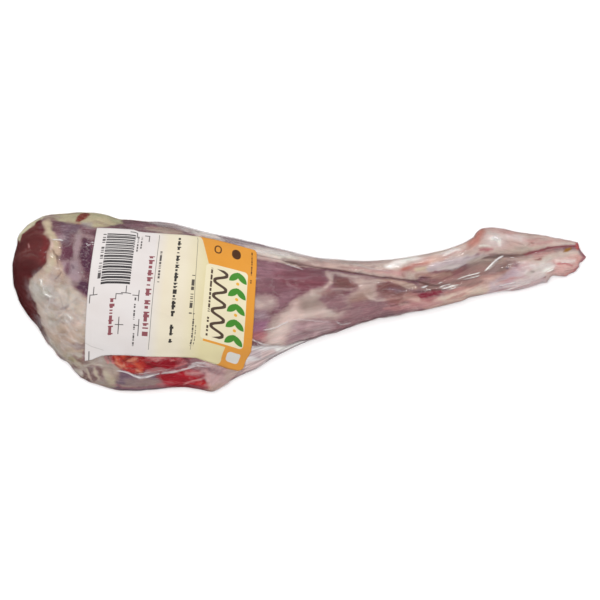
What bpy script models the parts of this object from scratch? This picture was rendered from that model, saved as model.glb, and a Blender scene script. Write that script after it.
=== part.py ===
"""Kid goat hind leg in tight clear film, with a paper label across its thigh.

The leg lies on its side on a flat surface. +X runs from the rump to the hock, +Y to the side
of the heel tendon, and +Z up. Shape values are in millimetres, and MM turns them into metres.
"""

import math
from collections import namedtuple

import bmesh
import bpy
import numpy as np
from mathutils import Vector, noise

MM = 0.001

# Driving sizes of the leg.
RUMP_X = -184.0
TIP_X = 184.5
RUMP_ROUND = 22.0
TIP_ROUND = 9.0

# Sections across the leg, before its two ends are rounded off. far_y and near_y are the edges
# of the outline from above, far_z and near_z the heights of those edges, and top_z and low_z
# the highest and lowest point. A low_z below zero is pressed flat by the surface.
Station = namedtuple("Station", "x far_y far_z near_y near_z top_z low_z")
STATIONS = (
    Station(-184.0, 53.0, 27.0, -13.0, 25.0, 52.0, 5.0),
    Station(-168.0, 55.0, 27.0, -17.5, 23.0, 54.0, 1.0),
    Station(-162.0, 55.8, 26.5, -27.5, 21.0, 55.5, -0.5),
    Station(-152.0, 56.8, 26.0, -39.3, 19.0, 57.5, -2.0),
    Station(-142.0, 57.8, 25.5, -48.0, 17.0, 59.5, -2.5),
    Station(-132.0, 57.8, 25.0, -53.8, 15.0, 61.0, -3.0),
    Station(-111.0, 53.8, 25.0, -58.3, 13.0, 63.0, -3.0),
    Station(-81.0, 51.2, 24.0, -56.6, 13.0, 62.0, -3.0),
    Station(-66.0, 47.4, 23.0, -57.0, 12.5, 59.5, -3.0),
    Station(-56.0, 44.8, 22.0, -59.2, 12.0, 57.0, -3.0),
    Station(-48.0, 43.0, 21.0, -54.9, 11.5, 54.5, -2.5),
    Station(-30.0, 38.7, 20.0, -44.8, 11.5, 49.5, -1.0),
    Station(-9.0, 33.8, 18.0, -33.8, 13.0, 43.5, 0.5),
    Station(22.0, 27.9, 17.0, -21.3, 15.0, 36.5, 3.0),
    Station(52.0, 27.2, 16.5, -12.3, 16.0, 32.0, 4.5),
    Station(83.0, 31.9, 16.0, -5.8, 15.0, 29.5, 4.5),
    Station(104.0, 38.0, 15.0, -0.7, 14.5, 28.5, 3.0),
    Station(109.5, 40.5, 14.8, 1.0, 14.2, 28.8, 2.0),
    Station(114.5, 46.6, 14.5, 3.2, 14.0, 29.0, 1.0),
    Station(124.0, 48.6, 14.5, 4.6, 13.5, 29.5, -0.5),
    Station(145.0, 45.2, 13.0, 7.2, 12.5, 27.5, -2.0),
    Station(157.0, 44.0, 12.5, 11.4, 12.0, 25.5, -1.8),
    Station(168.0, 41.8, 12.0, 15.9, 11.5, 23.0, -1.0),
    Station(176.0, 40.6, 11.5, 17.8, 11.5, 21.0, 0.5),
    Station(184.5, 37.5, 11.5, 21.5, 11.5, 19.0, 3.0),
)

# How square each quarter of a section is: 2 is an ellipse, and less is a flatter slope. The
# crest leans towards the far side. The first value of each pair is the thigh's and the second
# the shank's, and they blend where the leg narrows.
FAR_TOP_POWER = (2.35, 2.1)
NEAR_TOP_POWER = (1.7, 2.1)
UNDERSIDE_POWER = (2.5, 2.2)
NARROWS_FROM = -70.0
NARROWS_TO = 20.0
CREST_LEAN = (5.0, 0.0)
CREST_BLEND = 0.05

# Ridges stand up by height and grooves sink by it, fading out over reach to each side. They
# are on the faces that look up, on those that look down, or on both.
Relief = namedtuple("Relief", "route reach height faces")
RELIEFS = {
    "rump_cut_step": Relief(
        ((-164, 48), (-159, 38), (-163, 26), (-172, 15), (-172, 6), (-167, -10), (-162, -21)),
        2.6, -1.3, "top"),
    "fat_cap_groove": Relief(((-162, 50), (-147, 46), (-131, 46.5), (-115, 49)), 3.0, -1.2, "top"),
    "flank_valley": Relief(
        ((-129, -38), (-111, -40.5), (-95, -41.5), (-76, -39), (-60, -41.5), (-46, -44)),
        7.0, -6.0, "top"),
    "flank_fold": Relief(((-132, -46), (-111, -50.5), (-89, -50), (-64, -51), (-56, -54)), 4.5, 2.0, "top"),
    "flank_web": Relief(((-42, -41), (-24, -34.5), (1, -25.5), (23, -18.5)), 5.0, -3.0, "top"),
    "flank_web_under": Relief(((-30, -36), (0, -26), (30, -16)), 6.0, -1.6, "under"),
    "calf_bulge": Relief(((-22, 14), (6, 11), (22, 8)), 12.0, 1.6, "top"),
    "muscle_split": Relief(((-20, -24), (1, -6), (20, 7.5), (38, 16)), 3.2, -1.3, "top"),
    "tendon_crease": Relief(((-8, 26), (20, 22), (42, 18), (72, 13.5)), 2.8, -2.3, "top"),
    "heel_tendon": Relief(((48, 23), (75, 24), (93, 29), (110, 38)), 4.0, 1.4, "both"),
    "tendon_hollow": Relief(((74, 13), (88, 14.5), (103, 17.5), (118, 22)), 6.0, -2.8, "top"),
    "tendon_hollow_floor": Relief(((92, 16), (103, 18), (114, 21)), 5.0, -2.6, "top"),
    "tendon_hollow_under": Relief(((66, 12.5), (100, 16.5), (122, 23)), 7.0, -2.6, "under"),
    "shin_ridge": Relief(((62, 0), (97, 7), (128, 14), (157, 20)), 5.0, 1.3, "both"),
    "heel_knob": Relief(((121, 41), (126, 40)), 8.0, 2.2, "both"),
    "hock_groove": Relief(((120, 27.5), (146, 30.5), (162, 33.5), (177, 32.5)), 3.2, -3.6, "top"),
    "foot_pad": Relief(((136, 18), (160, 24)), 7.0, 1.4, "both"),
}
FULL_AT_SLOPE = 0.45
SOFTENING_PASSES = 2
LUMP_SIZE = 34.0
LUMP_HEIGHT = 0.8

# The mesh: pitches between sections, and points round each of them.
THIGH_PITCH = 4.9
SHANK_PITCH = 3.2
END_STEPS = 7
END_FIRST_ANGLE = 10.0
POINTS_ROUND = 42

# The label's corners as seen from above, its rounded right-hand corners and how far the middle
# of its near edge draws in where the paper turns down the slope of the thigh.
LABEL_TOP_LEFT = (-128.0, 46.9)
LABEL_TOP_RIGHT = (-27.2, 33.5)
LABEL_LOW_RIGHT = (-38.1, -43.2)
LABEL_LOW_LEFT = (-135.7, -35.5)
LABEL_DRAW_IN = 6.5
LABEL_CORNER = 3.2
LABEL_COLUMNS = 30
LABEL_ROWS = 28
LABEL_EDGE_CROWDING = 0.6
LABEL_THICK = 0.25
LABEL_GAP = 0.75
LABEL_START_HEIGHT = 120.0

LEG_COLOUR = (0.33, 0.17, 0.16)
LEG_ROUGHNESS = 0.32
LEG_COAT = 0.6
PAPER_COLOUR = (0.80, 0.72, 0.60)
PAPER_ROUGHNESS = 0.5


def smooth_step(value, low, high):
    """0 below low, 1 above high, and a soft S between them."""
    share = np.clip((value - low) / (high - low), 0.0, 1.0)
    return share * share * (3.0 - 2.0 * share)


def blended(pair, narrowing):
    """The thigh's value where narrowing is 0, and the shank's where it is 1."""
    return pair[0] + (pair[1] - pair[0]) * narrowing


def station_curve(field, x):
    """A smooth curve through one field of the stations, without overshoot between them."""
    knots = np.array([station.x for station in STATIONS])
    values = np.array([getattr(station, field) for station in STATIONS])
    widths = np.diff(knots)
    rises = np.diff(values) / widths
    slopes = np.zeros(len(knots))
    slopes[0] = rises[0]
    slopes[-1] = rises[-1]
    same_way = rises[:-1] * rises[1:] > 0.0
    before = 2.0 * widths[1:] + widths[:-1]
    after = widths[1:] + 2.0 * widths[:-1]
    means = (before + after) / (before / np.where(same_way, rises[:-1], 1.0)
                                + after / np.where(same_way, rises[1:], 1.0))
    slopes[1:-1] = np.where(same_way, means, 0.0)
    cell = np.clip(np.searchsorted(knots, x) - 1, 0, len(widths) - 1)
    width = widths[cell]
    t = (x - knots[cell]) / width
    start = values[cell] * (1 + 2 * t) * (1 - t) ** 2 + slopes[cell] * width * t * (1 - t) ** 2
    end = values[cell + 1] * t * t * (3 - 2 * t) + slopes[cell + 1] * width * t * t * (t - 1)
    return start + end


def end_rounding(x):
    """The share of a section's size that is left at x, where the two ends are rounded off."""
    rump = np.clip((RUMP_X + RUMP_ROUND - x) / RUMP_ROUND, 0.0, 1.0)
    tip = np.clip((x - TIP_X + TIP_ROUND) / TIP_ROUND, 0.0, 1.0)
    return np.sqrt(1.0 - rump**2) * np.sqrt(1.0 - tip**2)


def section_places():
    """Where along X the sections lie: close on the rounded ends, and closer on the shank."""
    angles = np.radians(np.linspace(END_FIRST_ANGLE, 90.0, END_STEPS))
    rump = RUMP_X + RUMP_ROUND * (1.0 - np.cos(angles))
    tip = TIP_X - TIP_ROUND * (1.0 - np.cos(angles))
    body = [rump[-1]]
    while body[-1] < tip[-1]:
        narrowing = smooth_step(body[-1], NARROWS_FROM, NARROWS_TO)
        body.append(body[-1] + blended((THIGH_PITCH, SHANK_PITCH), narrowing))
    fitted = rump[-1] + (np.array(body) - rump[-1]) * (tip[-1] - rump[-1]) / (body[-1] - rump[-1])
    return np.concatenate([rump, fitted[1:-1], tip[::-1]])


def signed_power(value, power):
    return np.sign(value) * np.abs(value) ** power


def base_points():
    """The leg without its relief, as an array of sections by points round by xyz."""
    x = section_places()[:, None]
    turn = np.linspace(0.0, 2.0 * math.pi, POINTS_ROUND, endpoint=False)[None, :]
    across = np.cos(turn)
    up = np.sin(turn)
    narrowing = smooth_step(x, NARROWS_FROM, NARROWS_TO)
    on_far_side = smooth_step(across, -CREST_BLEND, CREST_BLEND)
    top_power = (blended(FAR_TOP_POWER, narrowing) * on_far_side
                 + blended(NEAR_TOP_POWER, narrowing) * (1.0 - on_far_side))
    power = np.where(up > 0.0, top_power, blended(UNDERSIDE_POWER, narrowing))
    far_y, near_y = station_curve("far_y", x), station_curve("near_y", x)
    far_z, near_z = station_curve("far_z", x), station_curve("near_z", x)
    top_z, low_z = station_curve("top_z", x), station_curve("low_z", x)
    rounding = end_rounding(x)
    edge_z = np.where(across > 0.0, far_z, near_z)
    middle_z = (far_z + near_z) / 2.0
    lean = blended(CREST_LEAN, narrowing) * np.clip(up, 0.0, 1.0) ** 2
    y = (far_y + near_y) / 2.0 + rounding * (
        (far_y - near_y) / 2.0 * signed_power(across, 2.0 / power) + lean)
    reach_up = np.where(up > 0.0, top_z - edge_z, edge_z - low_z)
    z = middle_z + rounding * (edge_z - middle_z + reach_up * signed_power(up, 2.0 / power))
    return np.stack(np.broadcast_arrays(x, y, z), axis=-1)


def outward(points):
    """Unit normals of the grid of points, pointing out of the leg."""
    along = np.gradient(points, axis=0)
    around = np.roll(points, -1, axis=1) - np.roll(points, 1, axis=1)
    normals = np.cross(around, along)
    return normals / np.maximum(np.linalg.norm(normals, axis=-1, keepdims=True), 1e-9)


def distance_to_route(points, route):
    """How far each point is, seen from above, from a route of straight runs."""
    nearest = np.full(points.shape[:-1], np.inf)
    for start, end in zip(route[:-1], route[1:]):
        start, run = np.array(start, float), np.array(end, float) - np.array(start, float)
        offset = points[..., :2] - start
        share = np.clip(offset @ run / (run @ run), 0.0, 1.0)
        nearest = np.minimum(nearest, np.linalg.norm(offset - share[..., None] * run, axis=-1))
    return nearest


def softened(height):
    """The height of each point of the grid averaged with those of its four neighbours."""
    for _ in range(SOFTENING_PASSES):
        ends = np.pad(height, ((1, 1), (0, 0)), mode="edge")
        round_the_section = np.roll(height, 1, axis=1) + np.roll(height, -1, axis=1)
        height = height / 2.0 + (ends[:-2] + ends[2:] + round_the_section) / 8.0
    return height


def relief_height(points, normals):
    """How far each point moves along its normal for the ridges, grooves and soft lumps."""
    facing_up = smooth_step(normals[..., 2], 0.0, FULL_AT_SLOPE)
    facing_down = smooth_step(-normals[..., 2], 0.0, FULL_AT_SLOPE)
    weights = {"top": facing_up, "under": facing_down, "both": facing_up + facing_down}
    height = np.zeros(points.shape[:-1])
    for relief in RELIEFS.values():
        fade = np.exp(-(distance_to_route(points, relief.route) / relief.reach) ** 2)
        height += relief.height * fade * weights[relief.faces]
    lumps = [noise.noise(Vector(point) / LUMP_SIZE) for point in points.reshape(-1, 3)]
    return softened(height) + LUMP_HEIGHT * np.array(lumps).reshape(height.shape)


def leg_points():
    """The whole leg's grid of points, pressed flat where it meets the surface it lies on."""
    points = base_points()
    normals = outward(points)
    points = points + normals * relief_height(points, normals)[..., None]
    points[..., 2] = np.maximum(points[..., 2], 0.0)
    return points


def material(name, colour, roughness, coat=0.0):
    made = bpy.data.materials.new(name)
    made.use_nodes = True
    shader = made.node_tree.nodes["Principled BSDF"]
    shader.inputs["Base Color"].default_value = (*colour, 1.0)
    shader.inputs["Roughness"].default_value = roughness
    shader.inputs["Metallic"].default_value = 0.0
    shader.inputs["Coat Weight"].default_value = coat
    made.diffuse_color = (*colour, 1.0)
    return made


def add_object(name, mesh, surface, collection):
    mesh.materials.append(surface)
    made = bpy.data.objects.new(name, mesh)
    collection.objects.link(made)
    return made


def build_leg(collection):
    """The wrapped leg: a loft through its sections, closed by a fan at each end."""
    points = leg_points()
    shape = bmesh.new()
    rings = [[shape.verts.new(point * MM) for point in section] for section in points]
    for first, second in zip(rings[:-1], rings[1:]):
        for j in range(POINTS_ROUND):
            k = (j + 1) % POINTS_ROUND
            shape.faces.new((first[j], first[k], second[k], second[j]))
    for ring, tip_x, step in ((rings[0], RUMP_X, 1), (rings[-1], TIP_X, -1)):
        centre = sum((corner.co for corner in ring), Vector()) / POINTS_ROUND
        pole = shape.verts.new((tip_x * MM, centre.y, centre.z))
        for j in range(POINTS_ROUND):
            k = (j + step) % POINTS_ROUND
            shape.faces.new((pole, ring[k], ring[j]))
    bmesh.ops.recalc_face_normals(shape, faces=shape.faces)
    mesh = bpy.data.meshes.new("wrapped_leg")
    shape.to_mesh(mesh)
    shape.free()
    mesh.shade_smooth()
    surface = material("film_over_meat", LEG_COLOUR, LEG_ROUGHNESS, LEG_COAT)
    return add_object("wrapped_leg", mesh, surface, collection)


def label_place(across, down):
    """Where a point of the label lies seen from above: across and down run from 0 to 1."""
    down += LABEL_EDGE_CROWDING * ((1.0 - math.cos(math.pi * down)) / 2.0 - down)
    top = np.array(LABEL_TOP_LEFT) * (1 - across) + np.array(LABEL_TOP_RIGHT) * across
    low = np.array(LABEL_LOW_LEFT) * (1 - across) + np.array(LABEL_LOW_RIGHT) * across
    low[1] += LABEL_DRAW_IN * math.sin(math.pi * across)
    place = top * (1 - down) + low * down
    into_corner = 1.0 - min(down, 1.0 - down) * np.linalg.norm(low - top) / LABEL_CORNER
    if into_corner > 0.0:
        place[0] -= across * LABEL_CORNER * (1.0 - math.sqrt(1.0 - into_corner**2))
    return place


def build_label(collection, leg):
    """The paper label: a grid laid on the leg from above, a little clear of it, then thickened."""
    shape = bmesh.new()
    bmesh.ops.create_grid(shape, x_segments=LABEL_COLUMNS, y_segments=LABEL_ROWS, size=0.5)
    for vertex in shape.verts:
        x, y = label_place(0.5 + vertex.co.x, 0.5 - vertex.co.y)
        vertex.co = Vector((x, y, LABEL_START_HEIGHT)) * MM
    mesh = bpy.data.meshes.new("label")
    shape.to_mesh(mesh)
    shape.free()
    mesh.shade_smooth()
    surface = material("printed_paper", PAPER_COLOUR, PAPER_ROUGHNESS)
    label = add_object("label", mesh, surface, collection)
    laid = label.modifiers.new("laid_on_leg", "SHRINKWRAP")
    laid.target = leg
    laid.wrap_method = "PROJECT"
    laid.wrap_mode = "ABOVE_SURFACE"
    laid.use_project_z = True
    laid.use_negative_direction = True
    laid.use_positive_direction = False
    laid.offset = LABEL_GAP * MM
    paper = label.modifiers.new("paper", "SOLIDIFY")
    paper.thickness = LABEL_THICK * MM
    paper.offset = 1.0
    return label


def stand_on_origin(objects):
    """Moves the meshes so that the base centre of their common box is the origin."""
    graph = bpy.context.evaluated_depsgraph_get()
    corners = np.array([corner for made in objects
                        for corner in made.evaluated_get(graph).bound_box])
    low, high = corners.min(axis=0), corners.max(axis=0)
    shift = Vector((-(low[0] + high[0]) / 2.0, -(low[1] + high[1]) / 2.0, -low[2]))
    for made in objects:
        for vertex in made.data.vertices:
            vertex.co += shift


def main():
    for old in list(bpy.data.objects):
        bpy.data.objects.remove(old)
    collection = bpy.data.collections.new("kid_goat_leg")
    bpy.context.scene.collection.children.link(collection)
    leg = build_leg(collection)
    label = build_label(collection, leg)
    bpy.context.view_layer.update()
    stand_on_origin([leg, label])


main()
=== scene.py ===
"""Looks of a kid goat leg: raw meat on the bone in tight clear film, with a printed label.

Metres, with +X from the rump to the hock and +Z up. Places on the leg are given on its plan, a
drawing of 600 by 600 units of 0.64 mm that shows the leg from above, with y running down.
"""

import math
from collections import namedtuple
from functools import reduce

import bmesh
import bpy
import numpy as np
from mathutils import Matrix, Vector, noise
from mathutils.bvhtree import BVHTree


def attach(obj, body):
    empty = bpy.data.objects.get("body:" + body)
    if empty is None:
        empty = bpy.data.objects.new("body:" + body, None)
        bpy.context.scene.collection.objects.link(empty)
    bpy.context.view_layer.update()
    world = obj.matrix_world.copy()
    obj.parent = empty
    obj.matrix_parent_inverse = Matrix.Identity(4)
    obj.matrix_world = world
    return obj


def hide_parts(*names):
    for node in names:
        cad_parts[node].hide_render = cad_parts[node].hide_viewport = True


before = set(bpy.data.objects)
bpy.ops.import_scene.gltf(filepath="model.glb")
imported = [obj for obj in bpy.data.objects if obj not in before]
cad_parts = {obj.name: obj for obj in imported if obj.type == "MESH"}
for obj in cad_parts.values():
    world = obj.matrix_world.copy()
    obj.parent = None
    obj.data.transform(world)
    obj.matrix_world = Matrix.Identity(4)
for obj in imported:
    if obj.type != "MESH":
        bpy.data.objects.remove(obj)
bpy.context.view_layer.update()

MM = 0.001
UNIT = 0.64 * MM
PLAN_SIZE = 600
PLAN_CENTRE = Vector((0.353, 1.854, 25.0)) * MM
EYE_ABOVE = 2.5
EYE_Z = PLAN_CENTRE.z + EYE_ABOVE
SENSOR = 36.0
LENS = SENSOR * EYE_ABOVE / (PLAN_SIZE * UNIT)

# The leg's mesh: its even faces, and how often each place takes its neighbours' average.
VOXEL = 1.45 * MM
FACET_SMOOTHING = 8
FINE_SMOOTHING = 5
# The upper side's faces tilt less than this, and the label hides those this far inside its outline.
SEEN_SLOPE = 0.2
HIDDEN_DEPTH = 6.0 * MM
# The leg's form evened out for its fibres: the step along it, the least half width and the radius.
FLOW_STEP = 2.0 * MM
FLOW_LEAST = 14.0 * MM
FLOW_RADIUS = 28.0 * MM
# How far a line's shading reaches, and where the painted shadow on a fold's dark side lies, in half widths
# of the line.
LINE_REACH = 6.0
FOLD_SHADE = 1.6

# In millimetres: the meat's depth under the CAD solid's skin and the film's, how far the film can
# sag below the meat's relief, and the least gap between them.
MEAT_DEPTH = 0.9
FILM_DEPTH = 0.2
FILM_SAG = 0.35
FILM_GAP = 0.25
# How much of the relief the taut film follows, after this many averages, and its pleats' height.
FILM_FOLLOWS = 0.9
FILM_SMOOTHING = 6
PLEAT_HEIGHT = 0.55
FOLD_SOFT = 1.7
# The film's haze and pleats where nothing is drawn, and the strength of the white glints painted over the
# silverskin.
LEAST_HAZE = 0.008
LEAST_PLEATS = 0.25
GLINT_WISPS = 0.22
FILM_IOR = 1.48

# Colours as they look through the film in daylight and on the label: red, green and blue to 255.
# Some colours are painted light: shine and the hock's near-white are painted highlights;
# are painted shade, and each also draws one dark spot; seam_shade is painted shade in the seam's
# edge_dark, tendon_shade, hollow_violet and crease are painted shade; silver_shade and hollow_dark
# fold and a brown tint elsewhere.
COLOURS = {name: tuple(map(int, levels)) for name, *levels in map(str.split, """
mauve 136 95 104
mauve_pale 160 120 130
mauve_mid 152 114 119
mauve_red 136 80 90
mauve_deep 112 66 82
mauve_rose 150 104 112
mauve_grey 160 138 138
lilac 168 146 152
orchid 166 116 142
rose 188 114 120
wine 130 70 80
violet 120 99 112
muscle_dark 130 88 86
purple 124 90 98
purple_dark 94 60 78
cut_red 104 48 48
cut_dark 90 32 34
cut_bright 132 52 54
rim 216 208 178
seam 204 184 162
seam_shade 120 92 76
blush 204 146 142
silverskin 196 180 166
silver_cool 186 178 166
silver_warm 212 194 180
silver_shade 138 120 118
membrane 190 168 150
membrane_brown 160 138 122
membrane_mauve 156 124 120
olive 178 162 132
olive_grey 162 140 132
fat_cap 192 182 150
cap_grey 166 160 158
fat_red 132 58 48
tendon 204 180 170
tendon_white 232 224 214
tendon_shade 172 146 140
shine 255 252 246
orange_blush 184 92 74
apricot 224 176 154
butter 216 198 166
bluish 200 186 188
cream 200 176 168
cream_light 220 196 188
cream_grey 196 174 168
tan 194 164 150
tan_brown 160 130 116
tan_rose 174 128 118
brick 158 108 102
line_dark 118 74 76
edge_dark 112 78 84
red_spot 136 48 64
red_shade 176 104 110
pink_cream 216 184 172
cream_bright 230 208 190
rose_pink 206 152 152
pink_stripe 192 136 128
hollow 162 128 122
hollow_olive 188 171 158
hollow_dark 140 116 110
heel 222 202 198
heel_blush 196 134 122
hock_pink 206 178 170
hock_grey 192 178 164
lavender 210 186 190
hock_blue 190 174 182
hock_pale 226 214 208
hock_cream 218 200 186
groove_pink 164 84 96
tip_pink 222 170 162
tip_red 190 92 94
tip_rim 166 104 114
flank_beige 176 156 142
flank_brown 112 66 60
flank_cream 200 184 160
flesh_orange 206 92 68
flesh_salmon 218 146 118
flesh_red 180 52 48
flesh_deep 164 30 44
flesh_dark 104 36 36
flesh_pink 208 126 126
flesh_rose 180 78 86
red_wet 176 30 44
red_bright 196 10 18
violet_grey 134 108 122
violet_beige 162 138 132
film_mauve 208 168 166
tan_tip 208 168 154
yolk 160 112 44
film 232 226 226
film_grey 204 186 188
film_blush 220 196 194
haze_mauve 200 170 172
seam_bright 204 190 160
seam_peach 198 174 154
cream_pink 236 212 204
hollow_violet 162 136 134
flesh_brown 152 104 98
flesh_blush 216 148 146
strip_mauve 158 112 118
hock_white 238 224 220
thread 226 214 208
paper 232 226 224
paper_cream 238 228 204
paper_yellow 228 216 168
orange 234 158 52
window 240 230 196
field 226 224 218
leaf 72 148 46
fruit 240 176 60
brown 66 38 28
red_print 138 40 58
black_print 30 28 32
grey_print 58 52 54
crease 150 150 140
""".strip().splitlines())}
# From this green up a colour is one of fat, skin or tendon, and below it one of muscle.
LEAST_PALE_GREEN = 127
# The film over the meat adds a little white, and the studio's light is a little over one.
FILM_WHITE = 0.006
STUDIO_LIGHT = 1.15
# How much of the pale tissue's share is lost in its patches, and how many units of the plan past
# a tissue's edge its colour reaches under its neighbour.
MOTTLE = 0.3
TISSUE_SPREAD = 2.0


def drawn(text, fields, **shared):
    """Marks drawn on the plan, one a line: the values of its fields, and points after a colon.

    Points of two numbers are a closed outline. Points of three are a route with its half widths.
    """
    kind = namedtuple("Mark", (*fields.split(), *shared, "points"))
    marks = []
    for line in text.strip().splitlines():
        head, route = line.split(":")
        values = [word if word[0].isalpha() else float(word) for word in head.split()]
        points = [[float(number) for number in point.split(",")] for point in route.split()]
        marks.append(kind(*values, *shared.values(), np.array(points)))
    return marks


# Marks that paint light: the shine marks and the hock's near-white marks are painted highlights;
# creases and in the seam's crease, seam_shade in the seam's fold, tendon_shade along the edges of
# edge, towards its right corner, are the label's painted shadow, and the seam_peach patch by its
# edge_dark paints shade along the near edges, silver_shade in the membrane's dimple and fold
# near right corner is a painted reflection of its orange.
# the groove between the hock's lobes. The mauve_rose and wine strokes just under the label's near
# the tendon's band, and hollow_dark and hollow_violet in the hollow under the heel's tendon and in
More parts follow.
